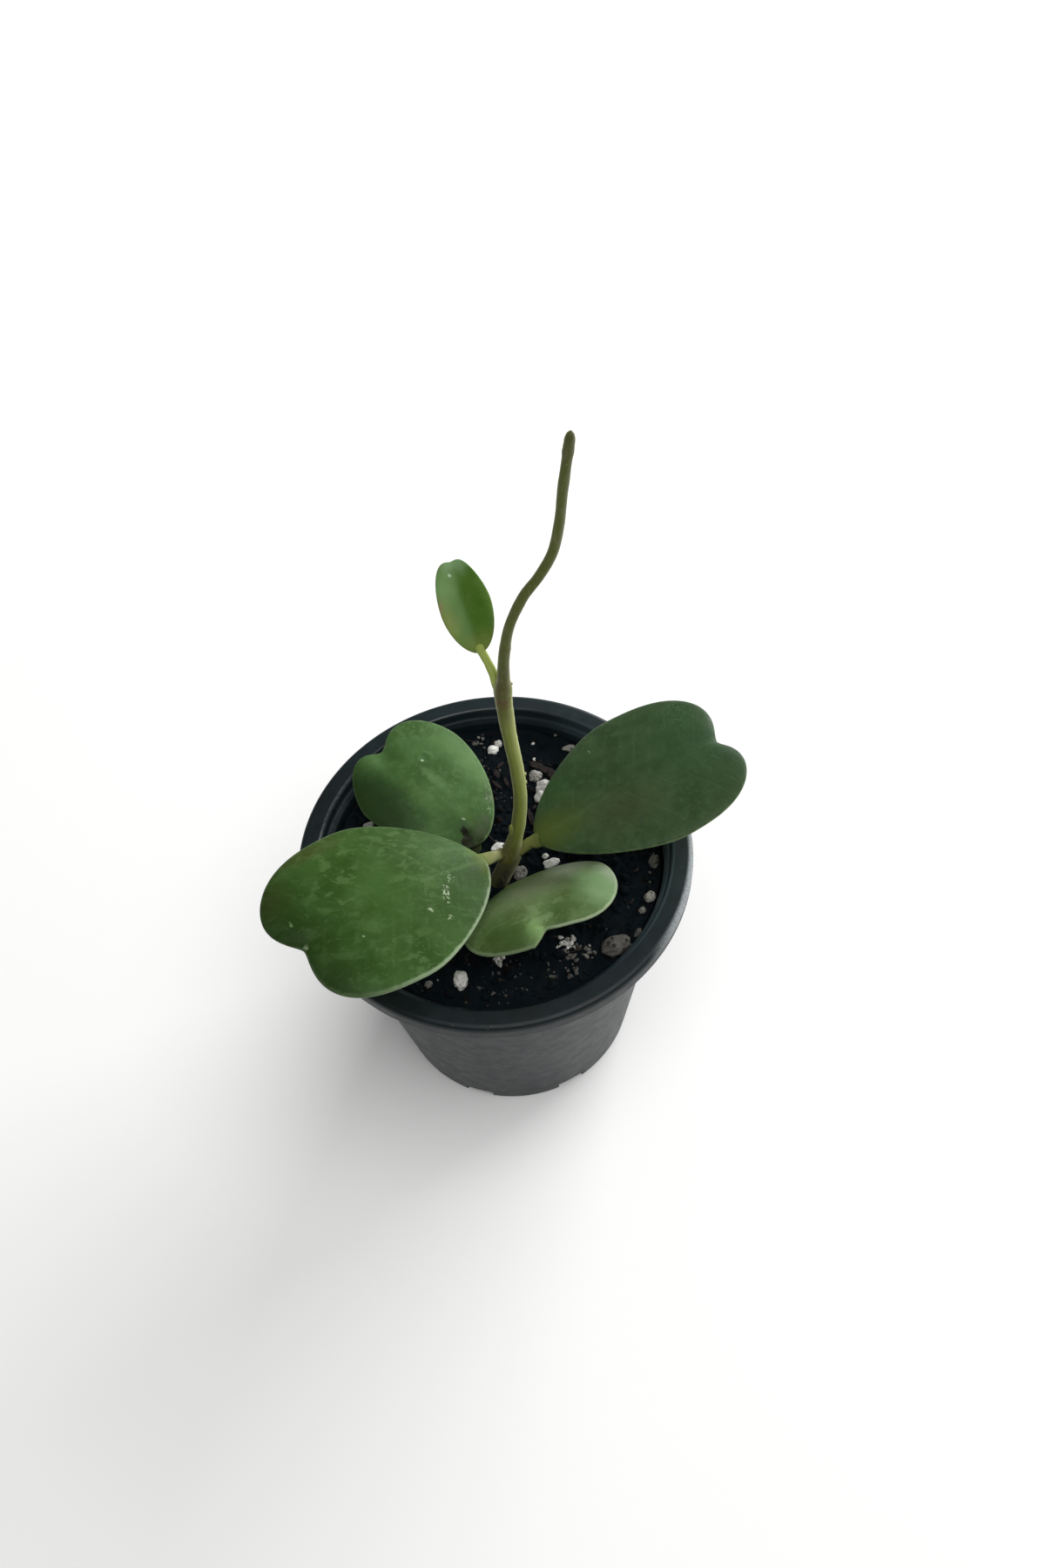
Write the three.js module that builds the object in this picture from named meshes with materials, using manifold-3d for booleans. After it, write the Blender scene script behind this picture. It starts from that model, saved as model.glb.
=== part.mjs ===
// A young sweetheart hoya in a round nursery pot: a pot filled with potting mix, one stem with two
// nodes and a bare vine above them, and five thick notched leaves. Millimetres, +Z up, with the
// origin in the middle of the pot's flat underside.
import * as THREE from 'three';
import { mergeVertices } from 'three/addons/utils/BufferGeometryUtils.js';
import Module from 'manifold-3d';

const wasm = await Module();
wasm.setup();

// Pot
const POT_HEIGHT = 88;
const RIM_RADIUS = 54;
const RIM_BAND_IN = 48.8;
const RIM_BAND_OUT = 52.7;
const RIM_THICKNESS = 1.4;
const SKIRT_DROP = 5.4;
const BASE_RADIUS = 37.6;
const NECK_RADIUS = 46.3;
const WALL = 1.3;
const FLOOR = 2.2;
const FLOOR_FILLET = 1.3;
const POT_SIDES = 48;
const DRAIN_HOLES = 8;
const DRAIN_RADIUS = 4.2;
const DRAIN_CENTRE = 37;

// Potting mix
const SOIL_LEVEL = 81.6;
const SOIL_MOUND = 0.5;
const SOIL_ROUGHNESS = 0.34;
const SOIL_RINGS = [5, 10, 15, 20, 25, 30, 35, 40, 43];
const SOIL_SIDES = 40;
const GRAIN_RISE = 0.15;
const GRAIN_SINK = 0.35;
const GRAIN_STRETCH = 0.4;
const SMALL_GRAIN_REACH = [12, 42];
const SMALL_GRAIN_RADIUS = [0.6, 1.3];
const GRAIN_COUNT = 34;
const GRAIN_SEED = 11;
const JOINT_GAP = 0.3;

// The large perlite grains that show, as [x, y, radius], with one long bark chip.
const LARGE_GRAINS = [
  [1.9, 37.2, 1.6],
  [3.6, 39.3, 1.2],
  [-3.1, 40.6, 0.9],
  [25.1, 35.2, 1.3],
  [13.5, 26.1, 1.9],
  [15.2, 21.8, 2.3],
  [14.1, 18.8, 1.6],
  [1.3, 4.2, 1.6],
  [6.6, -6, 1.9],
  [15.1, -3.8, 1.5],
  [42.6, -6.2, 1.7],
  [40.2, -18, 1.5],
  [37.9, -21.8, 1.2],
  [29.4, -31, 3.2],
  [23, -31.5, 1.6],
  [17.2, -27.8, 1.4],
  [17.3, -32.1, 1.4],
  [-1.5, -32.4, 1.6],
  [-11.7, -36.4, 2.3],
  [-19.8, -36.5, 1.6],
  [-35.3, 15.1, 1.4],
];
const BARK_CHIP = { x: 17, y: 29.4, length: 9, width: 4.2, height: 2.4, turn: -0.2 };

// Stem: the points that its centre line passes, and its radius at shares of its length.
const STEM_PATH = [
  [0.1, -8.1, 64],
  [0.6, -7.8, 75],
  [1.1, -7.5, 82.4],
  [2.9, -7.1, 88],
  [4.9, -6.5, 95],
  [7.2, -5.8, 104.4],
  [8.6, -4.9, 114.8],
  [8.7, -4.0, 126],
  [8.1, -3.1, 137],
  [7.6, -2.0, 150],
  [7.9, -1.5, 157.5],
  [8.6, -0.9, 164.2],
  [10.2, -0.4, 171.6],
  [13.7, 0.3, 179.2],
  [17.3, 0.7, 184.2],
  [20.3, 1.2, 189.6],
  [22.0, 1.7, 196.5],
  [23.1, 2.3, 204.6],
  [24.4, 3.0, 212.4],
  [25.1, 3.3, 216.8],
];
const STEM_RADII = [
  [0, 2.5],
  [0.11, 2.5],
  [0.15, 2.75],
  [0.175, 2.9],
  [0.205, 2.25],
  [0.25, 1.85],
  [0.35, 1.72],
  [0.46, 1.78],
  [0.515, 1.95],
  [0.54, 2.2],
  [0.565, 1.95],
  [0.59, 1.45],
  [0.63, 1.3],
  [0.7, 1.14],
  [0.8, 1.12],
  [0.93, 1.08],
  [0.97, 1.16],
  [0.99, 0.98],
  [1, 0.4],
];
const STEM_STEPS = 54;
const STEM_SIDES = 10;

// Small swellings on the stem, as [x, y, z, radius]: a leaf scar and the buds of air roots.
const STEM_BUDS = [
  [9.6, -1.9, 153.6, 0.6],
  [10.3, -4.5, 121.5, 0.65],
  [10.4, -4.3, 124.5, 0.5],
  [3.4, -7.0, 99.5, 0.8],
];

// Leaves. The blade lies in its own plane with x along the midrib from its base and y to the
// midrib's left. baseReach, tipReach, leftWidth and rightWidth are measured from the blade's centre,
// baseFullness and tipFullness square its two ends, and the notch is a dip round notchAngle.
// droop bends the blade down along its length, and cup bends its sides down.
const LEAVES = {
  leaf_left: {
    base: [-1.2, -10.8, 97], turn: 209.3, rise: 25.9, roll: -0.3, droop: 28.6, cup: 0.05,
    baseReach: 33.4, tipReach: 28.1, leftWidth: 23.3, rightWidth: 26, lobeDifference: 0.4,
    baseFullness: 1.56, tipFullness: 2.52,
    notchDepth: 0.244, notchWidth: 0.552, notchSkew: 0.46, notchSharpness: 1.7, notchAngle: 0.079,
    thickness: 3.4, color: 0x3f5f2c,
    petiole: [[4.2, -6.9, 91.6], [2.0, -8.6, 92.6], [-0.4, -10.2, 96.3], [-2.6, -11.6, 97.8]],
    petioleRadii: [[0, 2.1], [0.35, 1.75], [0.75, 1.7], [1, 1.2]],
  },
  leaf_right: {
    base: [12.5, -6.8, 99], turn: 21.9, rise: 11.3, roll: -7.9, droop: 5.7, cup: 0.05,
    baseReach: 33.4, tipReach: 25.8, leftWidth: 25.7, rightWidth: 21.7, lobeDifference: 1.7,
    baseFullness: 1.55, tipFullness: 2.53,
    notchDepth: 0.196, notchWidth: 0.34, notchSkew: 0.733, notchSharpness: 1.63, notchAngle: 0,
    thickness: 3.4, color: 0x35502f,
    petiole: [[4.7, -6.6, 94], [8.0, -7.1, 95.2], [11.2, -6.9, 98.4], [14.2, -6.1, 99.3]],
    petioleRadii: [[0, 2.2], [0.35, 1.6], [0.75, 1.5], [1, 1.1]],
  },
  leaf_back: {
    base: [-2.6, 3.5, 85], turn: 134.2, rise: 27.1, roll: -0.7, droop: 28.6, cup: 0.1,
    baseReach: 28, tipReach: 20.9, leftWidth: 17.7, rightWidth: 19, lobeDifference: -4,
    baseFullness: 1.78, tipFullness: 1.72,
    notchDepth: 0.414, notchWidth: 0.407, notchSkew: 1.26, notchSharpness: 1.86, notchAngle: -0.025,
    thickness: 3.2, color: 0x4a6b3a,
    petiole: [[0.5, -7.8, 74], [0.0, -3.6, 75.6], [-0.9, 0.6, 80.6], [-3.6, 4.5, 85.8]],
    petioleRadii: [[0, 1.7], [0.5, 1.6], [0.8, 1.5], [1, 1.1]],
  },
  leaf_front: {
    base: [3.4, -12.6, 84.6], turn: -62.8, rise: 55, roll: 2.3, droop: 53, cup: 0.147,
    baseReach: 16.5, tipReach: 15, leftWidth: 22.5, rightWidth: 19.5, lobeDifference: 1.2,
    baseFullness: 1.66, tipFullness: 2.38,
    notchDepth: 0.25, notchWidth: 0.6, notchSkew: 0.5, notchSharpness: 1.6, notchAngle: -0.15,
    thickness: 3.2, color: 0x6a8a5a,
    petiole: [[0.7, -7.7, 75.6], [1.8, -10.2, 77.4], [2.9, -12.0, 81.2], [3.9, -13.4, 86.2]],
    petioleRadii: [[0, 1.7], [0.4, 1.6], [0.8, 1.5], [1, 1.1]],
  },
  leaf_small: {
    base: [3.4, 1.4, 164.3], turn: 107.4, rise: 34.3, roll: -20.5, droop: 17.2, cup: -0.1,
    baseReach: 9.5, tipReach: 13.1, leftWidth: 5.7, rightWidth: 6.1, lobeDifference: 3,
    baseFullness: 2.05, tipFullness: 1.82,
    notchDepth: 0.119, notchWidth: 0.168, notchSkew: 0.92, notchSharpness: 1.66, notchAngle: 0.01,
    thickness: 1.5, color: 0x4c6e30,
    petiole: [[7.6, -1.9, 153.6], [6.2, -1.1, 156.4], [4.6, 0.4, 161], [3.2, 2.2, 165.2]],
    petioleRadii: [[0, 1.7], [0.3, 1.3], [0.85, 1.1], [1, 0.7]],
  },
};
const LEAF_SIDES = 36;
const LEAF_RINGS = 12;
const SMALL_LEAF_SIDES = 24;
const MARGIN_ROUNDING = 0.6;
const PETIOLE_SIDES = 10;
const PETIOLE_STEPS = 10;

// Turns a three.js geometry into a solid that can be joined and cut.
function toSolid(geometry) {
  const bare = geometry.clone();
  bare.deleteAttribute('normal');
  bare.deleteAttribute('uv');
  const merged = mergeVertices(bare, 1e-4);
  const mesh = new wasm.Mesh({
    numProp: 3,
    vertProperties: new Float32Array(merged.attributes.position.array),
    triVerts: new Uint32Array(merged.index.array),
  });
  return new wasm.Manifold(mesh);
}

// Turns a solid back into a named mesh with its own material.
function toMesh(name, solid, material) {
  const { vertProperties, triVerts } = solid.getMesh();
  const geometry = new THREE.BufferGeometry();
  geometry.setAttribute('position', new THREE.BufferAttribute(vertProperties, 3));
  geometry.setIndex(new THREE.BufferAttribute(triVerts, 1));
  geometry.computeVertexNormals();
  const mesh = new THREE.Mesh(geometry, material);
  mesh.name = name;
  return mesh;
}

// A repeatable source of numbers from 0 to 1.
function seededRandom(seed) {
  let state = seed;
  return () => {
    state = (state * 1664525 + 1013904223) % 4294967296;
    return state / 4294967296;
  };
}

// The value at t on a line through [t, value] pairs, eased from one pair to the next.
function alongPairs(pairs, t) {
  const last = pairs.length - 1;
  let i = 0;
  while (i < last - 1 && t > pairs[i + 1][0]) {
    i += 1;
  }
  const share = THREE.MathUtils.smoothstep(t, pairs[i][0], pairs[i + 1][0]);
  return THREE.MathUtils.lerp(pairs[i][1], pairs[i + 1][1], share);
}

// A tube of changing thickness: a straight extrusion whose rings are set along a curve.
function bentTube(points, radii, sides, steps, extra) {
  const curve = new THREE.CatmullRomCurve3(points.map((p) => new THREE.Vector3(...p)));
  const circle = new THREE.Shape();
  for (let i = 0; i < sides; i += 1) {
    const angle = (i / sides) * Math.PI * 2;
    const place = i === 0 ? 'moveTo' : 'lineTo';
    circle[place](Math.cos(angle), Math.sin(angle));
  }
  const tube = new THREE.ExtrudeGeometry(circle, { steps, depth: 1, bevelEnabled: false });
  const frames = curve.computeFrenetFrames(steps, false);
  const centres = curve.getSpacedPoints(steps);
  const position = tube.attributes.position;
  for (let i = 0; i < position.count; i += 1) {
    const ring = Math.round(position.getZ(i) * steps);
    const radius = alongPairs(radii, ring / steps) + extra;
    const point = centres[ring].clone();
    point.addScaledVector(frames.normals[ring], position.getX(i) * radius);
    point.addScaledVector(frames.binormals[ring], position.getY(i) * radius);
    position.setXYZ(i, point.x, point.y, point.z);
  }
  return toSolid(tube);
}

// Distance from the blade's centre to its margin in the direction of an angle.
function marginReach(leaf, angle) {
  const c = Math.cos(angle);
  const s = Math.sin(angle);
  const tipShare = 0.5 * (1 + Math.tanh(3 * c));
  const fullness = leaf.baseFullness * (1 - tipShare) + leaf.tipFullness * tipShare;
  const along = c > 0 ? leaf.tipReach + leaf.lobeDifference * s : leaf.baseReach;
  const across = s > 0 ? leaf.leftWidth : leaf.rightWidth;
  const oval = (Math.abs(c / along) ** fullness + Math.abs(s / across) ** fullness) ** (-1 / fullness);
  const fromNotch = Math.atan2(Math.sin(angle - leaf.notchAngle), Math.cos(angle - leaf.notchAngle));
  const width = fromNotch > 0 ? leaf.notchWidth : leaf.notchWidth * leaf.notchSkew;
  const dip = leaf.notchDepth * Math.exp(-((Math.abs(fromNotch) / width) ** leaf.notchSharpness));
  return oval * (1 - dip);
}

// A point of the blade: an angle and a share of the reach in its plane, and a height over it.
function bladePoint(leaf, angle, share, height) {
  const reach = marginReach(leaf, angle) * share;
  const x = leaf.baseReach + reach * Math.cos(angle);
  const y = reach * Math.sin(angle);
  const halfWidth = 0.5 * (leaf.leftWidth + leaf.rightWidth);
  const lift = height - (leaf.cup * y * y) / halfWidth;
  const bend = THREE.MathUtils.degToRad(leaf.droop) / (leaf.baseReach + leaf.tipReach);
  const angleAt = bend * x;
  return new THREE.Vector3(
    Math.sin(angleAt) / bend + lift * Math.sin(angleAt),
    y,
    (Math.cos(angleAt) - 1) / bend + lift * Math.cos(angleAt),
  );
}

// A blade: a flattened sphere set into the leaf's outline, bent, and turned into its place.
function leafBlade(leaf, sides) {
  const ball = new THREE.SphereGeometry(1, sides, LEAF_RINGS);
  const turn = new THREE.Matrix4().makeRotationZ(THREE.MathUtils.degToRad(leaf.turn));
  turn.multiply(new THREE.Matrix4().makeRotationY(-THREE.MathUtils.degToRad(leaf.rise)));
  turn.multiply(new THREE.Matrix4().makeRotationX(THREE.MathUtils.degToRad(leaf.roll)));
  turn.setPosition(...leaf.base);
  const position = ball.attributes.position;
  for (let i = 0; i < position.count; i += 1) {
    const up = position.getY(i);
    const share = Math.hypot(position.getX(i), position.getZ(i));
    const angle = Math.atan2(-position.getZ(i), position.getX(i));
    const height = 0.5 * leaf.thickness * Math.sign(up) * Math.abs(up) ** MARGIN_ROUNDING;
    const point = bladePoint(leaf, angle, share, height).applyMatrix4(turn);
    position.setXYZ(i, point.x, point.y, point.z);
  }
  return toSolid(ball);
}

function petioleTube(leaf, extra) {
  return bentTube(leaf.petiole, leaf.petioleRadii, PETIOLE_SIDES, PETIOLE_STEPS, extra);
}

function stemTube(extra) {
  return bentTube(STEM_PATH, STEM_RADII, STEM_SIDES, STEM_STEPS, extra);
}

// A blade with its petiole, cut back to a narrow gap where it meets the stem.
function buildLeaf(leaf, sides) {
  return leafBlade(leaf, sides).add(petioleTube(leaf, 0)).subtract(stemTube(JOINT_GAP));
}

function buildStem() {
  let stem = stemTube(0);
  for (const [x, y, z, radius] of STEM_BUDS) {
    const bud = new THREE.IcosahedronGeometry(radius, 1);
    bud.translate(x, y, z);
    stem = stem.add(toSolid(bud));
  }
  return stem;
}

// The outline of half the pot, from the middle of its underside out, up and over the rim and
// down the inside to the middle of its floor.
function potProfile() {
  const top = POT_HEIGHT;
  const under = top - RIM_THICKNESS;
  const skirt = top - SKIRT_DROP;
  return [
    [0, 0],
    [BASE_RADIUS - 0.8, 0],
    [BASE_RADIUS, 0.8],
    [NECK_RADIUS + WALL, skirt - 2],
    [RIM_BAND_IN, under],
    [RIM_RADIUS - 1.5, under],
    [RIM_RADIUS - 1.5, skirt + 0.5],
    [RIM_RADIUS - 0.9, skirt],
    [RIM_RADIUS - 0.3, skirt],
    [RIM_RADIUS, skirt + 0.5],
    [RIM_RADIUS, top - 1.3],
    [RIM_RADIUS - 0.4, top - 0.4],
    [RIM_BAND_OUT, top],
    [RIM_BAND_IN, top],
    [RIM_BAND_IN - 0.5, top - 0.4],
    [RIM_BAND_IN - 1.1, top - 2.3],
    [RIM_BAND_IN - 1.7, top - 2.8],
    [NECK_RADIUS, top - 4.2],
    [NECK_RADIUS - 0.2, top - 8],
    [BASE_RADIUS - WALL, FLOOR + FLOOR_FILLET],
    [BASE_RADIUS - WALL - FLOOR_FILLET, FLOOR],
    [0, FLOOR],
  ];
}

function turned(profile, sides) {
  const lathe = new THREE.LatheGeometry(profile.map((p) => new THREE.Vector2(...p)), sides);
  lathe.rotateX(Math.PI / 2);
  return toSolid(lathe);
}

function buildPot() {
  let pot = turned(potProfile(), POT_SIDES);
  for (let i = 0; i < DRAIN_HOLES; i += 1) {
    const angle = ((i + 0.5) / DRAIN_HOLES) * Math.PI * 2;
    const hole = new THREE.SphereGeometry(DRAIN_RADIUS, 10, 6);
    hole.translate(Math.cos(angle) * DRAIN_CENTRE, Math.sin(angle) * DRAIN_CENTRE, 0);
    pot = pot.subtract(toSolid(hole));
  }
  return pot;
}

// Height of the loose soil at a place, before the grains are set in it.
function soilHeight(x, y) {
  const mound = SOIL_MOUND * (1 - (x * x + y * y) / NECK_RADIUS ** 2);
  const waves = Math.sin(0.31 * x + 1.3) * Math.sin(0.27 * y - 0.6) + Math.sin(0.73 * x - 0.52 * y);
  return SOIL_LEVEL + mound + SOIL_ROUGHNESS * waves;
}

// A grain or chip: a faceted ball with an uneven skin, more than half of it sunk in the soil.
function soilGrain(x, y, radius, random) {
  const grain = new THREE.IcosahedronGeometry(radius, 0);
  const stretch = () => 1 + GRAIN_STRETCH * (random() - 0.5);
  grain.scale(stretch(), stretch(), stretch() * 0.85);
  grain.rotateZ(random() * Math.PI);
  grain.rotateX(random() * Math.PI);
  grain.translate(x, y, soilHeight(x, y) + GRAIN_RISE * radius - GRAIN_SINK);
  return toSolid(grain);
}

function barkChip() {
  const chip = new THREE.BoxGeometry(BARK_CHIP.length, BARK_CHIP.width, BARK_CHIP.height);
  chip.rotateZ(BARK_CHIP.turn);
  chip.translate(BARK_CHIP.x, BARK_CHIP.y, soilHeight(BARK_CHIP.x, BARK_CHIP.y));
  return toSolid(chip);
}

// The soil: a plug that fits the pot, with an uneven top, grains in it and plain holes for what grows.
function buildSoil() {
  const edge = NECK_RADIUS - 2 * JOINT_GAP - 0.2;
  const foot = BASE_RADIUS - WALL - JOINT_GAP;
  const profile = [
    [0, FLOOR + JOINT_GAP],
    [foot - FLOOR_FILLET, FLOOR + JOINT_GAP],
    [foot, FLOOR + FLOOR_FILLET],
    [edge, SOIL_LEVEL - 2],
    [edge, SOIL_LEVEL],
    ...[...SOIL_RINGS].reverse().map((radius) => [radius, SOIL_LEVEL]),
    [0, SOIL_LEVEL],
  ];
  const lathe = new THREE.LatheGeometry(profile.map((p) => new THREE.Vector2(...p)), SOIL_SIDES);
  lathe.rotateX(Math.PI / 2);
  const position = lathe.attributes.position;
  for (let i = 0; i < position.count; i += 1) {
    if (position.getZ(i) > SOIL_LEVEL - 0.01) {
      position.setZ(i, soilHeight(position.getX(i), position.getY(i)));
    }
  }
  let soil = toSolid(lathe);
  const random = seededRandom(GRAIN_SEED);
  for (const [x, y, radius] of LARGE_GRAINS) {
    soil = soil.add(soilGrain(x, y, radius, random));
  }
  for (let i = 0; i < GRAIN_COUNT; i += 1) {
    const angle = random() * Math.PI * 2;
    const reach = THREE.MathUtils.lerp(...SMALL_GRAIN_REACH, Math.sqrt(random()));
    const radius = THREE.MathUtils.lerp(...SMALL_GRAIN_RADIUS, random());
    soil = soil.add(soilGrain(Math.cos(angle) * reach, Math.sin(angle) * reach, radius, random));
  }
  soil = soil.add(barkChip());
  soil = soil.subtract(stemTube(JOINT_GAP));
  for (const name of ['leaf_back', 'leaf_front']) {
    soil = soil.subtract(petioleTube(LEAVES[name], JOINT_GAP));
  }
  return soil;
}

const plasticLook = new THREE.MeshStandardMaterial({ color: 0x1d2224, roughness: 0.42, metalness: 0 });
const soilLook = new THREE.MeshStandardMaterial({ color: 0x17120e, roughness: 0.95, metalness: 0 });
const stemLook = new THREE.MeshStandardMaterial({ color: 0x5c6a2c, roughness: 0.55, metalness: 0 });

const plant = new THREE.Group();
plant.add(toMesh('pot', buildPot(), plasticLook));
plant.add(toMesh('soil', buildSoil(), soilLook));
plant.add(toMesh('stem', buildStem(), stemLook));
for (const [name, leaf] of Object.entries(LEAVES)) {
  const sides = name === 'leaf_small' ? SMALL_LEAF_SIDES : LEAF_SIDES;
  const look = new THREE.MeshStandardMaterial({ color: leaf.color, roughness: 0.45, metalness: 0 });
  plant.add(toMesh(name, buildLeaf(leaf, sides), look));
}

export default plant;
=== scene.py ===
"""A small hoya with five thick, notched leaves in a dark nursery pot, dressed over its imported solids.

Lengths are millimetres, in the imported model's frame. A finished piece is scaled to metres.
"""

import logging
import math
import random
from dataclasses import dataclass, field
from enum import Enum
from typing import Optional, Sequence, Union

import bmesh
import bpy
from bmesh.types import BMesh, BMVert
from bpy.types import Material, Node, NodeSocket, Object
from mathutils import Matrix, Vector, noise


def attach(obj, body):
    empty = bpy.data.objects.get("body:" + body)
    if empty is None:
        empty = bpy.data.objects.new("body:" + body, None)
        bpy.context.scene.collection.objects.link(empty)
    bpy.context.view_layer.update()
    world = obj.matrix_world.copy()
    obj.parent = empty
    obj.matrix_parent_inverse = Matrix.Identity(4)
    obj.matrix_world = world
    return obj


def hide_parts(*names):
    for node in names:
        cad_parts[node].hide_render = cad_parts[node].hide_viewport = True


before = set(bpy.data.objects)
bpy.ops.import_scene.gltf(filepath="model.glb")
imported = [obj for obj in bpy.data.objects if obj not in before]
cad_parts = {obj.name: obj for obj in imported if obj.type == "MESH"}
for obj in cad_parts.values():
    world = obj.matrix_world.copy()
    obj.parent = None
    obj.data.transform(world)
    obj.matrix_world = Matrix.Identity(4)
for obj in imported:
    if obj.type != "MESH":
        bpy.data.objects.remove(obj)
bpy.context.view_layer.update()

log = logging.getLogger("hoya")

BODY = "root"
MM = 0.001
TURN = 2 * math.pi
Point = tuple[float, float, float]
Pair = tuple[float, float]
Feed = Union[NodeSocket, float, tuple[float, ...]]
Paint = Union[NodeSocket, str]
Layers = dict[str, object]


class Slot(Enum):
    """The record's material slots."""

    POT = "pot_plastic"
    SOIL = "potting_mix"
    STEM = "stem_green"
    UPPER = "leaf_upper"
    LOWER = "leaf_lower"
    YOUNG = "leaf_young"


def linear(code: str) -> tuple[float, float, float, float]:
    """Turns a paint-chip colour, six hex digits, into the linear values that a shader takes."""
    values = [int(code[i : i + 2], 16) / 255 for i in (0, 2, 4)]
    return (*[v / 12.92 if v <= 0.04045 else ((v + 0.055) / 1.055) ** 2.4 for v in values], 1.0)


def smooth(value: float, low: float, high: float) -> float:
    """Eases from 0 at low to 1 at high, and stays flat past both."""
    t = min(1.0, max(0.0, (value - low) / (high - low)))
    return t * t * (3 - 2 * t)


def bell(value: float, width: float) -> float:
    """Gives a bell curve: 1 at 0, and 0.37 a width away."""
    return math.exp(-((value / width) ** 2))


def along_table(table: Sequence[Pair], share: float) -> float:
    """Reads a table of (share, value) rows, easing from each row to the next.

    Args:
        table: Rows in rising order of share.
        share: Where it is read.

    Returns:
        The value there.
    """
    for (a, u), (b, v) in zip(table, table[1:]):
        if share <= b:
            return u + (v - u) * smooth(share, a, b)
    return table[-1][1]


class Shader:
    """One node material round a Principled shader, with short ways to lay out its patterns."""

    def __init__(self, name: str) -> None:
        """Starts a material.

        Args:
            name: The finish's name.
        """
        self.material: Material = bpy.data.materials.new(name)
        self.material.use_nodes = True
        self.tree = self.material.node_tree
        self.place: NodeSocket = self.node("ShaderNodeTexCoord", {}).outputs["Object"]

    def node(self, kind: str, feeds: dict[Union[int, str], Feed], **settings: object) -> Node:
        """Adds a node.

        Args:
            kind: Its type.
            feeds: What goes into its inputs, by their numbers or names.
            settings: Its properties.

        Returns:
            The node.
        """
        made = self.tree.nodes.new(kind)
        for key, value in settings.items():
            setattr(made, key, value)
        for key, value in feeds.items():
            self.feed(made.inputs[key], value)
        return made

    def feed(self, socket: NodeSocket, value: Feed) -> None:
        """Links a socket into another, or sets a constant on it.

        Args:
            socket: The input that receives.
            value: A socket, a number or a tuple.
        """
        if isinstance(value, NodeSocket):
            self.tree.links.new(value, socket)
        else:
            socket.default_value = value

    def dress(self, **sockets: Feed) -> Material:
        """Feeds the main shader.

        Args:
            sockets: What goes into its inputs, with _ for the blanks in their names.

        Returns:
            The finished material.
        """
        surface = self.tree.nodes["Principled BSDF"]
        for key, value in sockets.items():
            self.feed(surface.inputs[key.replace("_", " ")], value)
        return self.material

    def attribute(self, name: str) -> NodeSocket:
        """Reads one of the mesh's own numbers."""
        return self.node("ShaderNodeAttribute", {}, attribute_name=name).outputs["Fac"]

    def axes(self) -> tuple[NodeSocket, ...]:
        """Splits the object's own place into X, Y and Z."""
        return tuple(self.node("ShaderNodeSeparateXYZ", {0: self.place}).outputs)

    def stretched(self, scale: Point) -> NodeSocket:
        """Gives the object's own place, scaled along each axis."""
        return self.node("ShaderNodeMapping", {"Vector": self.place, "Scale": scale}).outputs[0]

    def maths(self, operation: str, a: Feed, b: Feed = 0.0) -> NodeSocket:
        """Works out one sum of two values."""
        return self.node("ShaderNodeMath", {0: a, 1: b}, operation=operation).outputs[0]

    def product(self, value: Feed, *others: Feed) -> NodeSocket:
        """Multiplies values.

        Args:
            value: The first.
            others: The rest.

        Returns:
            Their product.
        """
        for other in others:
            value = self.maths("MULTIPLY", value, other)
        return value

    def vector(self, operation: str, a: Feed, b: Feed = (0.0, 0.0, 0.0)) -> NodeSocket:
        """Works out one sum of two vectors, or the length of one."""
        made = self.node("ShaderNodeVectorMath", {0: a, 1: b}, operation=operation)
        return made.outputs["Value" if operation in ("LENGTH", "DOT_PRODUCT") else "Vector"]

    def cloud(
        self, scale: float, detail: float = 3.0, rough: float = 0.55, at: Optional[NodeSocket] = None
    ) -> NodeSocket:
        """Adds fractal noise round 0.5, with so many features in a metre or in one unit of the vector."""
        feeds = {"Vector": at or self.place, "Scale": scale, "Detail": detail, "Roughness": rough}
        return self.node("ShaderNodeTexNoise", feeds).outputs["Fac"]

    def cells(self, scale: float, at: Optional[NodeSocket] = None) -> NodeSocket:
        """Adds the distance to the nearest of many scattered points."""
        feeds = {"Vector": at or self.place, "Scale": scale}
        return self.node("ShaderNodeTexVoronoi", feeds).outputs["Distance"]

    def band(self, value: Feed, low: float, high: float, bottom: float = 0.0, top: float = 1.0) -> NodeSocket:
        """Eases a value from low to high into bottom to top, and stays flat past both."""
        feeds = dict(enumerate((value, low, high, bottom, top)))
        return self.node("ShaderNodeMapRange", feeds, interpolation_type="SMOOTHSTEP").outputs[0]

    def over(self, value: Feed, span: Pair, bottom: float = 0.0, top: float = 1.0) -> NodeSocket:
        """Eases a length over a span of millimetres into bottom to top."""
        return self.band(value, span[0] * MM, span[1] * MM, bottom, top)

    def blend(self, share: Feed, *paints: Paint) -> NodeSocket:
        """Mixes two colours, with a share of the second."""
        a, b = (linear(paint) if isinstance(paint, str) else paint for paint in paints)
        return self.node("ShaderNodeMix", {0: share, 6: a, 7: b}, data_type="RGBA").outputs[2]

    def coats(self, ground: Paint, *coats: tuple[Feed, Paint]) -> NodeSocket:
        """Lays coats of colour over a ground.

        Args:
            ground: The lowest colour.
            coats: Each coat's share and colour, from the lowest up.

        Returns:
            The colour on top.
        """
        for share, paint in coats:
            ground = self.blend(share, ground, paint)
        return ground

    def bump(
        self, height: NodeSocket, depth: float, strength: float = 1.0, under: Optional[NodeSocket] = None
    ) -> NodeSocket:
        """Roughens the surface by a pattern.

        Args:
            height: The pattern, from 0 to 1.
            depth: Its depth in millimetres.
            strength: How far the normal follows it.
            under: A bump that this one lies on.

        Returns:
            The normal.
        """
        feeds = {"Height": height, "Distance": depth * MM, "Strength": strength}
        if under is not None:
            feeds["Normal"] = under
        return self.node("ShaderNodeBump", feeds).outputs["Normal"]


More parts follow.
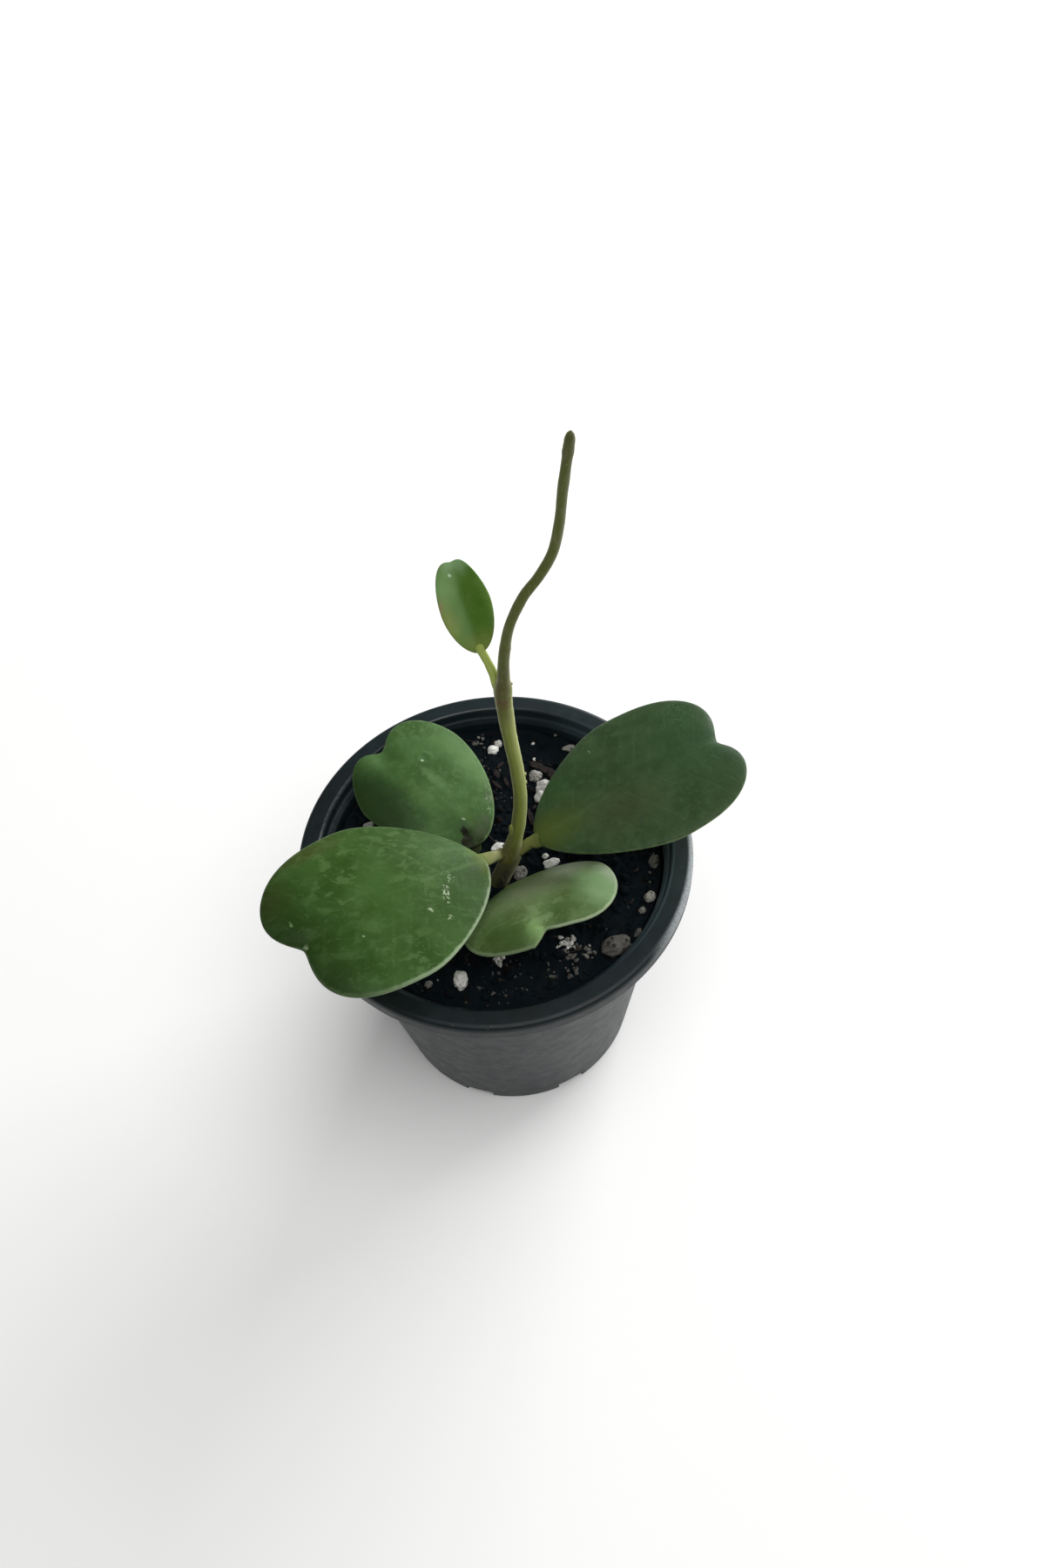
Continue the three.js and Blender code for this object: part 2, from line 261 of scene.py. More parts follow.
@dataclass(frozen=True)
class SatinPlastic:
    """Dark slate moulded plastic with a satin skin, fine scuffs and a little dust. The back, the right side
    and the inner wall on the right are painted lighter as painted light, and the rim's right outer edge and
    left lip carry painted highlights, broken up as wear.

    Each span gives where an effect starts and where it is full: along X or Y, up the pot, or from
    its axis outwards.
    """

    skin: str = "0e1b1f"
    shade: str = "0a1315"
    # Colour of the painted light on the back and the right of the pot.
    painted_light: str = "1a282b"
    # Colour of the painted light on the inner wall at the right.
    inner: str = "46565c"
    dust: str = "6f6f6a"
    # Pale colour of the painted highlights on the rim's right edge and left lip, broken up by scratches and
    # scuffs of wear.
    wear_and_glint: str = "a9b0b2"
    lit_back_part: Pair = (15.0, 50.0)
    lit_right_part: Pair = (25.0, 50.0)
    right_part: Pair = (15.0, 45.0)
    dusty_height: Pair = (52.0, 82.0)
    lit_inner_radius: Pair = (49.2, 48.6)
    lit_inner_height: Pair = (80.8, 82.0)
    edge_radius: Pair = (52.2, 53.4)
    edge_height: Pair = (84.0, 87.4)
    lip_radius: Pair = (49.1, 48.8)
    lip_height: Pair = (86.8, 87.4)
    ledge_radius: Pair = (47.6, 47.2)
    ledge_height: Pair = (83.2, 84.4)
    glint_towards: Point = (0.95, -0.31, 0.0)
    glint_reach: Pair = (46.5, 53.2)
    lip_glint_towards: Point = (-0.95, 0.31, 0.0)
    lip_glint_reach: Pair = (42.0, 47.8)

    def build(self) -> Material:
        """Lays out the plastic.

        Returns:
            The material.
        """
        s = Shader("pot satin plastic")
        x, y, z = s.axes()
        radius = s.vector("LENGTH", s.vector("MULTIPLY", s.place, (1.0, 1.0, 0.0)))
        specks = s.product(s.band(s.cells(420), 0.14, 0.05), s.band(s.cloud(45, 3), 0.5, 0.72))
        streaks = s.product(s.band(s.cloud(2600, 5, 0.7), 0.6, 0.8, 0.0, 0.35), 0.4)
        dusty = s.product(s.maths("MAXIMUM", specks, streaks), s.over(z, self.dusty_height, 0.35, 1.0))
        # Painted light: the inner wall on the right side is painted lighter.
        inside = s.product(s.over(radius, self.lit_inner_radius), s.over(x, self.right_part))
        # Painted highlight: the rounded outer edge on the right, towards the light, is painted pale as a
        # glancing reflection, broken up by scratches of real wear.
        edge = s.product(s.over(radius, self.edge_radius), s.over(z, self.edge_height))
        glint_side = s.over(s.vector("DOT_PRODUCT", s.place, self.glint_towards), self.glint_reach)
        scratches = s.band(s.cloud(2200, 4, 0.7), 0.3, 0.62, 0.35, 1.0)
        lip = s.product(s.over(radius, self.lip_radius), s.over(z, self.lip_height))
        ledge = s.product(s.over(radius, self.ledge_radius), s.over(z, self.ledge_height, 0.0, 0.6))
        # Painted highlight: the inner lip and the ledge below it on the left side are painted pale as a
        # reflection, broken up by scuffs.
        lip_glint_side = s.over(s.vector("DOT_PRODUCT", s.place, self.lip_glint_towards), self.lip_glint_reach)
        scuffs = s.band(s.cloud(900, 4, 0.7), 0.3, 0.62, 0.02, 0.12)
        colour = s.coats(
            self.shade,
            (s.band(s.cloud(60, 4), 0.35, 0.65), self.skin),
            # Painted light: the back and the right of the pot are painted lighter, where the light falls from
            # the right and behind.
            (s.over(y, self.lit_back_part, 0.0, 0.55), self.painted_light),
            (s.over(x, self.lit_right_part, 0.0, 0.45), self.painted_light),
            (s.product(dusty, 0.3), self.dust),
            (s.product(inside, s.over(z, self.lit_inner_height, 0.0, 0.8)), self.inner),
            (s.product(edge, glint_side, scratches, 0.9), self.wear_and_glint),
            (s.product(s.maths("MAXIMUM", lip, ledge), lip_glint_side, scuffs), self.wear_and_glint),
        )
        matt = s.band(s.cloud(240, 5, 0.65), 0.3, 0.7, 0.38, 0.47)
        fine = s.bump(s.cloud(3200, 3, 0.6), 0.02, 0.5)
        return s.dress(
            Base_Color=colour,
            Roughness=s.maths("SUBTRACT", matt, s.product(lip, 0.12)),
            Normal=s.bump(s.cloud(90, 2), 0.04, 0.15, fine),
            Specular_IOR_Level=s.maths("ADD", 0.26, s.product(lip, 0.2)),
        )


@dataclass(frozen=True)
class PottingSoil:
    """Nearly black, peaty potting mix with brown and reddish bits."""

    black: str = "071015"
    brown: str = "0b1013"
    red: str = "19110d"
    ash: str = "353838"

    def build(self) -> Material:
        """Lays out the soil.

        Returns:
            The material.
        """
        s = Shader("potting soil")
        tone = s.attribute("tone")
        flecks = s.product(s.band(s.cells(900), 0.2, 0.08), s.band(s.cloud(300, 3), 0.55, 0.68))
        colour = s.coats(
            self.black,
            (s.band(s.cloud(260, 5, 0.7), 0.42, 0.66), self.brown),
            (s.band(tone, 0.66, 0.95, 0.0, 0.75), self.red),
            (s.band(tone, 0.93, 0.99, 0.0, 0.75), self.ash),
            (s.product(flecks, 0.4), self.ash),
        )
        fine = s.bump(s.cloud(2400, 5, 0.7), 0.12, 0.8)
        lumps = s.bump(s.cloud(700, 4, 0.65), 0.5, 0.9, fine)
        return s.dress(Base_Color=colour, Roughness=0.9, Normal=lumps, Specular_IOR_Level=0.08)


@dataclass(frozen=True)
class PaleStone:
    """Perlite and pumice: white to grey-brown, pitted with painted shade in the pits, and stained where the
    soil touches it.
    """

    white: str = "f1f0ea"
    cream: str = "a3a099"
    drab: str = "56544f"
    stain: str = "27231d"
    # Colour of the painted shade in the pits.
    hollow: str = "14120e"
    dim: str = "2d2d2c"

    def build(self) -> Material:
        """Lays out the grains.

        Returns:
            The material.
        """
        s = Shader("perlite and pumice")
        tone = s.attribute("tone")
        patches = s.band(s.cloud(900, 4, 0.65), 0.54, 0.7)
        pitted = s.maths("MAXIMUM", s.band(s.cells(1500), 0.36, 0.16), patches)
        # Painted shade: dark spots stand for the shade in the pits of the pumice.
        shaded_pits = s.product(s.band(s.cells(560), 0.4, 0.24), s.band(tone, 0.3, 0.7))
        colour = s.coats(
            self.white,
            (s.band(tone, 0.1, 0.45), self.cream),
            (s.band(tone, 0.5, 0.9), self.drab),
            (s.band(tone, 0.93, 1.0), self.dim),
            (s.product(pitted, s.band(tone, 0.0, 0.6, 0.12, 0.85)), self.stain),
            (s.product(shaded_pits, 0.85), self.hollow),
            (s.product(s.band(s.attribute("rise"), 0.5, -0.3), 0.75), self.stain),
        )
        pores = s.bump(s.cells(1900), 0.12, 0.6)
        rough = s.bump(s.cloud(1300, 5, 0.7), 0.25, 0.7, pores)
        return s.dress(Base_Color=colour, Roughness=0.88, Normal=rough, Specular_IOR_Level=0.3)


@dataclass(frozen=True)
class Bark:
    """Dark red-brown bark chip with long fibres."""

    dark: str = "120d0b"
    red: str = "251a17"
    # Here only wear: the paler, worn fibres of the bark.
    wear_and_glint: str = "3c3029"
    fibre_scale: Point = (0.25, 1.6, 1.6)

    def build(self) -> Material:
        """Lays out the bark.

        Returns:
            The material.
        """
        s = Shader("bark")
        fibres = s.cloud(900, 4, 0.6, s.stretched(self.fibre_scale))
        colour = s.coats(
            self.dark,
            (s.band(fibres, 0.35, 0.65), self.red),
            (s.band(s.cloud(1700, 4, 0.65), 0.6, 0.78, 0.0, 0.6), self.wear_and_glint),
        )
        normal = s.bump(fibres, 0.25, 0.9)
        return s.dress(Base_Color=colour, Roughness=0.8, Normal=normal, Specular_IOR_Level=0.3)


@dataclass(frozen=True)
class Zone:
    """A stretch of the stem: the shares of its length where it starts and is full, and its colour."""

    start: float
    full: float
    colour: str
    strength: float = 1.0


@dataclass(frozen=True)
class StemSkin:
    """Stem bark from the brown foot through yellow-green to the dark olive vine, with painted light and
    shade: lighter on the right, darker on the left, pale painted highlights down both edges, painted shade
    over the upper node, and partly painted shade over the foot and lower node.

    The zones are the foot, the lower node, the green internode, the vine and its tip. Patterns are
    read at the share of the stem's length and at how far a face looks to the right, from -1 to 1.
    """

    earthy: str = "191a14"
    zones: tuple[Zone, ...] = (
        # The foot and the lower node are painted darker: partly their own dark bark, partly painted shade
        # under the leaves.
        Zone(0.12, 0.155, "2f3029"),
        Zone(0.145, 0.195, "4e5024"),
        Zone(0.19, 0.27, "747f34"),
        Zone(0.50, 0.60, "4f581e"),
        Zone(0.95, 1.0, "444528", 0.6),
    )
    lit: str = "a9b16e"
    lit_ends: str = "6f6f55"
    # Pale colour of the painted highlight down the stem's right edge.
    rim: str = "c3c6a9"
    shade: str = "5e6038"
    ring: str = "573f20"
    blush_and_shade: str = "5a4738"
    # Colour of the painted shade over the upper node.
    dim: str = "3a3c12"
    cork: str = "8d8468"
    down: str = "eceebe"
    grain_scale: Point = (1.0, 1.0, 0.22)

    def build(self) -> Material:
        """Lays out the bark, coloured along the stem's own length.

        Returns:
            The material.
        """
        s = Shader("stem skin")
        share, side = s.attribute("share"), s.attribute("right")
        internode = s.product(s.band(share, 0.18, 0.24), s.band(share, 0.62, 0.54))
        # Painted light: the right side of the stem, towards the light, is painted lighter.
        light = s.product(
            s.band(side, -0.1, 0.7), s.band(share, 0.6, 0.7, 0.8, 0.5), s.band(share, 0.14, 0.24, 0.6, 1.0)
        )
        # Painted highlight: a pale rim down the right edge of the stem.
        rim_highlight = s.product(s.band(side, 0.86, 1.0, 0.0, 0.42), s.band(share, 0.56, 0.66, 1.0, 0.6))
        # Painted shade: the upper node and the vine just above it are painted darker, less so on the lit
        # right side.
        shaded_upper_node = s.product(
            s.band(share, 0.495, 0.54),
            s.band(share, 0.66, 0.6, 0.0, 0.45),
            s.band(side, 0.95, 0.45, 0.25, 1.0),
        )
        # Painted shade: the left side of the stem, away from the light, is painted darker.
        left = s.band(side, -0.3, -0.85)
        # A brownish mottle on the left side: partly the stem's own blush, partly painted shade.
        mottle = s.product(left, s.band(s.cloud(500, 4, 0.65), 0.36, 0.6))
        shaded_blush_share = s.product(s.band(share, 0.62, 0.5, 0.15, 0.25), s.band(share, 0.14, 0.24))
        # Painted highlight: a thin pale rim down the left edge of the stem.
        left_rim_highlight = s.product(s.band(side, -0.9, -1.0, 0.0, 0.4), s.band(share, 0.2, 0.26))
        grain = s.cloud(1300, 4, 0.6, s.stretched(self.grain_scale))
        colour = s.coats(
            self.earthy,
            *[(s.band(share, z.start, z.full, 0.0, z.strength), z.colour) for z in self.zones],
            (light, s.blend(internode, self.lit_ends, self.lit)),
            (rim_highlight, self.rim),
            (shaded_upper_node, self.dim),
            (s.product(left, s.band(share, 0.62, 0.5, 0.15, 0.6)), self.shade),
            (s.product(mottle, shaded_blush_share), self.blush_and_shade),
            (left_rim_highlight, self.lit),
            (s.product(s.attribute("scar"), 0.9), self.ring),
            (s.band(grain, 0.5, 0.75, 0.0, 0.25), self.cork),
            (s.band(s.cells(520), 0.1, 0.05, 0.0, 0.5), self.cork),
        )
        return s.dress(
            Base_Color=colour,
            Roughness=s.band(s.cloud(400, 3), 0.3, 0.7, 0.4, 0.56),
            Normal=s.bump(grain, 0.08, 0.6, s.bump(s.cloud(2600, 3), 0.03, 0.5)),
            Specular_IOR_Level=0.25,
            Sheen_Weight=0.35,
            Sheen_Roughness=0.35,
            Sheen_Tint=linear(self.down),
            Subsurface_Weight=0.08,
            Subsurface_Radius=(0.9, 1.0, 0.4),
            Subsurface_Scale=1.2 * MM,
        )


@dataclass(frozen=True)
class Patch:
    """A soft-edged patch of colour on the upper face, placed in the blade's own measure. Besides scuffs and
    spots, many patches are painted light and shade: painted sheen and highlights where the light falls,
    painted shade where it does not.

    The place and the two half widths are millimetres along the midrib and across it. Soft is the
    share of the reach where the patch is full, and a broken patch is torn up by fine noise.
    """

    x: float
    y: float
    wide: float
    high: float
    colour: str
    strength: float = 0.5
    broken: bool = False
    soft: float = 0.0

    def coat(self, s: Shader, at: NodeSocket, torn: NodeSocket) -> tuple[NodeSocket, str]:
        """Lays out the patch as a coat of colour.

        Args:
            s: The material.
            at: The blade's own measure, in millimetres.
            torn: The fine noise that breaks a broken patch up.

        Returns:
            Its share and its colour.
        """
        away = s.vector("SUBTRACT", at, (self.x, self.y, 0.0))
        reach = s.vector("LENGTH", s.vector("MULTIPLY", away, (1 / self.wide, 1 / self.high, 0.0)))
        share = s.band(reach, 1.0, self.soft, 0.0, self.strength)
        if self.broken:
            share = s.product(share, s.band(torn, 0.52, 0.34))
        return share, self.colour


@dataclass(frozen=True)
class LeafSkin:
    """Thick waxy leaf skin: a clouded green with flecks, a pale margin that is also a painted edge highlight,
    a midrib and marks of wear, with patches of painted light and shade and a painted sheen on one half.

    Patterns are read in the blade's own measure: millimetres along the midrib and across it.
    """

    name: str
    deep: str
    mid: str
    fleck: str
    foot: str
    margin_and_glint: str
    under: str = "8fa070"
    petiole: str = "7d8146"
    root: str = "5f5c3a"
    half_sheen: str = "7f9f62"
    half_sheen_share: float = 0.0
    flecks: float = 0.35
    midrib: float = 0.22
    edge_left: float = 0.5
    edge_right: float = 0.5
    edge_from: float = 0.965
    edge_fades: Pair = (1.0, 1.3)
    foot_length: float = 12.0
    drawn_towards: float = 0.0
    drawn_out: float = 1.0
    gloss: float = 0.42
    shine: float = 0.15
    patches: tuple[Patch, ...] = ()

    def mottle(self, s: Shader, flat: NodeSocket, at: NodeSocket) -> NodeSocket:
        """Lays out the clouded green with its islands, flecks and dots.

        Args:
            s: The material.
            flat: The blade's own measure.
            at: The same, shifted a little by noise.

        Returns:
            The colour.
        """
        drawn = s.node(
            "ShaderNodeMapping",
            {
                "Vector": s.vector("MULTIPLY", at, (0.8, 0.9, 1.0)),
                "Rotation": (0.0, 0.0, math.radians(self.drawn_towards)),
                "Scale": (self.drawn_out, 1.0, 1.0),
            },
            vector_type="TEXTURE",
        ).outputs[0]
        islands = s.band(s.cloud(0.34, 3, 0.6, drawn), 0.51, 0.6, 0.0, 0.75)
        specks = s.band(s.cloud(0.85, 3, 0.5, drawn), 0.56, 0.66, 0.0, 0.8)
        small = s.maths("MAXIMUM", islands, specks)
        spread = s.band(s.cloud(0.07, 2, 0.5, flat), 0.38, 0.62, 0.25, 1.0)
        sparse = s.band(s.cloud(0.16, 2, 0.5, flat), 0.42, 0.6)
        dots = s.product(s.band(s.cells(0.95, flat), 0.2, 0.08), sparse)
        return s.coats(
            self.deep,
            (s.band(s.cloud(0.09, 3, 0.6, flat), 0.36, 0.64), self.mid),
            (s.product(small, spread, self.flecks), self.fleck),
            (s.product(dots, self.flecks), self.fleck),
            (s.band(s.cloud(2.4, 4, 0.65, flat), 0.3, 0.7, 0.0, 0.35), self.deep),
        )

    def build(self) -> Material:
        """Lays out the skin.

        Returns:
            The material.
        """
        s = Shader(self.name)
        x, y, along = (s.attribute(key) for key in ("blade_x", "blade_y", "along"))
        aside = s.maths("ABSOLUTE", y)
        flat = s.node("ShaderNodeCombineXYZ", {0: x, 1: y}).outputs[0]
        wobble = s.node("ShaderNodeTexNoise", {"Vector": flat, "Scale": 0.35}).outputs["Color"]
        shift = s.vector("MULTIPLY", s.vector("SUBTRACT", wobble, (0.5, 0.5, 0.5)), (3.0, 3.0, 0.0))
        at = s.vector("ADD", flat, shift)
        across = s.maths("DIVIDE", aside, s.band(x, 0.0, 40.0, 0.9, 0.35))
        rib = s.product(s.band(across, 1.5, 0.1), s.band(along, 0.6, 0.15, 0.0, self.midrib))
        rows = s.maths("SINE", s.product(s.maths("SUBTRACT", x, s.product(aside, 0.55)), 1.35))
        ragged = s.band(s.cloud(0.25, 2, 0.5, flat), 0.3, 0.7, -0.4, 0.4)
        veins = s.band(s.maths("ADD", rows, ragged), 0.82, 1.15)
        # Painted sheen: one half of the blade, across the midrib, is painted lighter.
        half = s.product(s.band(y, -0.9, 1.6), s.band(along, 1.0, 0.6), self.half_sheen_share)
        torn = s.cells(1.7, flat)
        foot = s.product(s.band(x, self.foot_length, 0.0, 0.0, 0.8), s.band(aside, 9.0, 1.0))
        frayed = s.band(s.cloud(0.5, 3, 0.6, flat), 0.3, 0.7, -0.006, 0.006)
        # The margin's own colour, laid stronger on one side, where it is also a painted edge highlight.
        edge = s.product(
            s.band(s.maths("ADD", s.attribute("rim"), frayed), self.edge_from, self.edge_from + 0.03),
            s.band(y, -2.0, 2.0, self.edge_right, self.edge_left),
            s.band(along, *self.edge_fades, 1.0, 0.15),
        )
        petiole_tone = s.blend(s.band(s.attribute("root"), 0.0, 1.0), self.petiole, self.root)
        colour = s.coats(
            self.mottle(s, flat, at),
            (rib, self.fleck),
            (s.product(veins, 0.07), self.fleck),
            (half, self.half_sheen),
            *[patch.coat(s, at, torn) for patch in self.patches],
            (foot, self.foot),
            (edge, self.margin_and_glint),
            (s.band(s.attribute("upper"), 0.1, -0.5), self.under),
            (s.attribute("petiole"), petiole_tone),
        )
        skin = s.bump(s.cloud(2.2, 3, 0.6, flat), 0.03, 0.5)
        soft = s.bump(s.cloud(0.3, 3, 0.55, flat), 0.16, 0.5, skin)
        return s.dress(
            Base_Color=colour,
            Roughness=s.band(s.cloud(0.35, 4, 0.6, flat), 0.3, 0.7, self.gloss - 0.06, self.gloss + 0.1),
            Normal=s.bump(s.maths("SUBTRACT", 1.0, veins), 0.05, 0.4, soft),
            Specular_IOR_Level=self.shine,
            Subsurface_Weight=0.1,
            Subsurface_Radius=(0.6, 1.0, 0.3),
            Subsurface_Scale=1.2 * MM,
        )


def new_object(name: str, data: bpy.types.ID) -> Object:
    """Puts an object with its data in the scene.

    Args:
        name: Its name.
        data: Its mesh, light or camera.

    Returns:
        The object.
    """
    made = bpy.data.objects.new(name, data)
    bpy.context.scene.collection.objects.link(made)
    return made


def finish_piece(
    bm: BMesh, name: str, material: Material, stands_for: Sequence[str] = ()
) -> Object:
    """Makes a drawn mesh a piece of the object, in metres, riding on the frame.

    Args:
        bm: The mesh, in millimetres. It is freed.
        name: The piece's name.
        material: Its finish.
        stands_for: The CAD nodes that it replaces.

    Returns:
        The piece.
    """
    bmesh.ops.recalc_face_normals(bm, faces=bm.faces)
    bmesh.ops.scale(bm, vec=(MM, MM, MM), verts=bm.verts)
    for face in bm.faces:
        face.smooth = True
    mesh = bpy.data.meshes.new(name)
    bm.to_mesh(mesh)
    bm.free()
    mesh.materials.append(material)
    piece = new_object(name, mesh)
    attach(piece, BODY)
    if stands_for:
        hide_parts(*stands_for)
    log.info("%s: %d faces", name, len(mesh.polygons))
    return piece


def new_layers(bm: BMesh, names: Sequence[str]) -> Layers:
    """Adds numbers that every vertex carries.

    Args:
        bm: The mesh.
        names: What the numbers are called.

    Returns:
        Their layers by name.
    """
    for name in names:
        bm.verts.layers.float.new(name)
    return {name: bm.verts.layers.float[name] for name in names}


def note(vert: BMVert, layers: Layers, **values: float) -> None:
    """Writes numbers on a vertex."""
    for name, value in values.items():
        vert[layers[name]] = value


def pour(part: BMesh, whole: BMesh) -> None:
    """Adds one drawn mesh to another.

    Args:
        part: What is added. It is freed.
        whole: What it is added to.
    """
    mesh = bpy.data.meshes.new("handful")
    part.to_mesh(mesh)
    part.free()
    whole.from_mesh(mesh)
    bpy.data.meshes.remove(mesh)


def draw_wire(bm: BMesh, rows: Sequence[Pair]) -> list[BMVert]:
    """Draws a section as a wire.

    Args:
        bm: Where it is drawn.
        rows: The radius and height of each of its points.

    Returns:
        Its points.
    """
    verts = [bm.verts.new((radius, 0.0, height)) for radius, height in rows]
    for a, b in zip(verts, verts[1:]):
        bm.edges.new((a, b))
    return verts


def spin_wire(bm: BMesh, steps: int) -> None:
    """Spins a wire a full turn about Z and closes the seam and the poles.

    Args:
        bm: Where it is drawn.
        steps: How many faces go round.
    """
    bmesh.ops.spin(
        bm,
        geom=list(bm.verts) + list(bm.edges),
        cent=(0, 0, 0),
        axis=(0, 0, 1),
        angle=TURN,
        steps=steps,
        use_merge=True,
    )
    bmesh.ops.remove_doubles(bm, verts=bm.verts, dist=0.001)


def matrix_of(
    side: Sequence[float], up: Sequence[float], ahead: Sequence[float], place: Sequence[float]
) -> Matrix:
    """Makes the matrix that has these three axes and stands at this place."""
    columns = (side, up, ahead, place)
    return Matrix([[column[row] for column in columns] for row in range(3)] + [[0, 0, 0, 1]])


def turned(angle: float, axis: str) -> Matrix:
    """Makes the matrix of a turn about one axis."""
    return Matrix.Rotation(angle, 4, axis)


def sized(size: Sequence[float]) -> Matrix:
    """Makes the matrix that scales by three half widths."""
    return Matrix.Diagonal((*size, 1.0))


class Heap:
    """Gathers many small lumps, drawing them a few at a time so that each is drawn in a small mesh."""

    def __init__(self, layers: Sequence[str], batch: int = 40) -> None:
        """Starts an empty heap.

        Args:
            layers: The numbers that every vertex carries.
            batch: How many lumps are drawn before they are put on the heap.
        """
        self.layers = layers
        self.batch = batch
        self.count = 0
        self.whole = bmesh.new()
        self.part = self.fresh()

    def fresh(self) -> BMesh:
        """Starts a small mesh with the heap's layers.

        Returns:
            The mesh.
        """
        bm = bmesh.new()
        new_layers(bm, self.layers)
        return bm

    def next(self) -> BMesh:
        """Gives the small mesh that the next lump is drawn in.

        Returns:
            The mesh.
        """
        self.count += 1
        if self.count % self.batch == 0:
            pour(self.part, self.whole)
            self.part = self.fresh()
        return self.part

    def close(self) -> BMesh:
        """Gives the whole heap as one mesh."""
        pour(self.part, self.whole)
        return self.whole


@dataclass(frozen=True)
class Station:
    """One section of a tube: its centre, its two half widths and how far along it stands."""

    centre: Vector
    wide: float
    high: float
    share: float


@dataclass(frozen=True)
class Ring:
    """One drawn section of a tube, with its frame."""

    centre: Vector
    side: Vector
    up: Vector
    share: float
    verts: tuple[BMVert, ...]


def run_lengths(places: Sequence[Vector]) -> list[float]:
    """Measures how far along a line each of its places is.

    Args:
        places: The line's places in order.

    Returns:
        The length up to each place.
    """
    lengths = [0.0]
    for before, after in zip(places, places[1:]):
        lengths.append(lengths[-1] + (after - before).length)
    return lengths


def between(a: Vector, b: Vector, low: float, high: float, t: float) -> Vector:
    """Gives the place on the way from a, passed at low, to b, passed at high."""
    return a * ((high - t) / (high - low)) + b * ((t - low) / (high - low))


def spline(points: Sequence[Point], count: int, steps: int = 24) -> list[Vector]:
    """Runs a centripetal curve through points and reads it at even steps.

    Args:
        points: What it passes through.
        count: How many places are read.
        steps: How finely each stretch is worked out first.

    Returns:
        The places, first and last included.
    """
    knots = [Vector(p) for p in points]
    knots = [knots[0] * 2 - knots[1], *knots, knots[-1] * 2 - knots[-2]]
    dense: list[Vector] = []
    for a, b, c, d in zip(knots, knots[1:], knots[2:], knots[3:]):
        t1 = (b - a).length ** 0.5
        t2 = t1 + (c - b).length ** 0.5
        t3 = t2 + (d - c).length ** 0.5
        for step in range(steps):
            t = t1 + (t2 - t1) * step / steps
            p = between(a, b, 0.0, t1, t)
            q = between(b, c, t1, t2, t)
            r = between(c, d, t2, t3, t)
            u = between(p, q, 0.0, t2, t)
            v = between(q, r, t1, t3, t)
            dense.append(between(u, v, t1, t2, t))
    dense.append(knots[-2].copy())
    lengths = run_lengths(dense)
    read: list[Vector] = []
    index = 0
    for step in range(count):
        goal = lengths[-1] * step / (count - 1)
        while index < len(dense) - 2 and lengths[index + 1] < goal:
            index += 1
        gap = lengths[index + 1] - lengths[index]
        read.append(dense[index].lerp(dense[index + 1], (goal - lengths[index]) / gap))
    return read


def station_frame(stations: Sequence[Station], index: int, side: Vector) -> tuple[Matrix, Vector, Vector]:
    """Works out a section's matrix and its two axes.

    Args:
        stations: The tube's sections.
        index: Which one.
        side: The way that the section before it calls sideways.

    Returns:
        The matrix, and the ways that are sideways and up.
    """
    here = stations[index]
    ahead = stations[min(index + 1, len(stations) - 1)].centre
    behind = stations[max(index - 1, 0)].centre
    forward = (ahead - behind).normalized()
    side = (side - forward * side.dot(forward)).normalized()
    up = forward.cross(side)
    return matrix_of(side * here.wide, up * here.high, forward, here.centre), side, up


def sweep(bm: BMesh, stations: Sequence[Station], sides: int, first_side: Vector) -> list[Ring]:
    """Draws a closed tube by extruding a ring from each station to the next.

    Args:
        bm: Where it is drawn.
        stations: Its sections in order.
        sides: How many sides a section has.
        first_side: Which way the first section's wide axis points.

    Returns:
        Its rings.
    """
    matrix, side, up = station_frame(stations, 0, first_side)
    drawn = bmesh.ops.create_circle(bm, cap_ends=False, radius=1.0, segments=sides, matrix=matrix)
    verts = drawn["verts"]
    first = verts
    edges = [e for e in bm.edges if e.verts[0] in verts and e.verts[1] in verts]
    rings = [Ring(stations[0].centre, side, up, stations[0].share, tuple(verts))]
    for index in range(1, len(stations)):
        before = matrix
        matrix, side, up = station_frame(stations, index, side)
        drawn = bmesh.ops.extrude_edge_only(bm, edges=edges)["geom"]
        verts = [g for g in drawn if isinstance(g, BMVert)]
        new = set(verts)
        edges = [g for g in drawn if isinstance(g, bmesh.types.BMEdge) and set(g.verts) <= new]
        bmesh.ops.transform(bm, matrix=matrix @ before.inverted(), verts=verts)
        rings.append(Ring(stations[index].centre, side, up, stations[index].share, tuple(verts)))
    for loop in (first, verts):
        bmesh.ops.contextual_create(bm, geom=list(loop))
    return rings


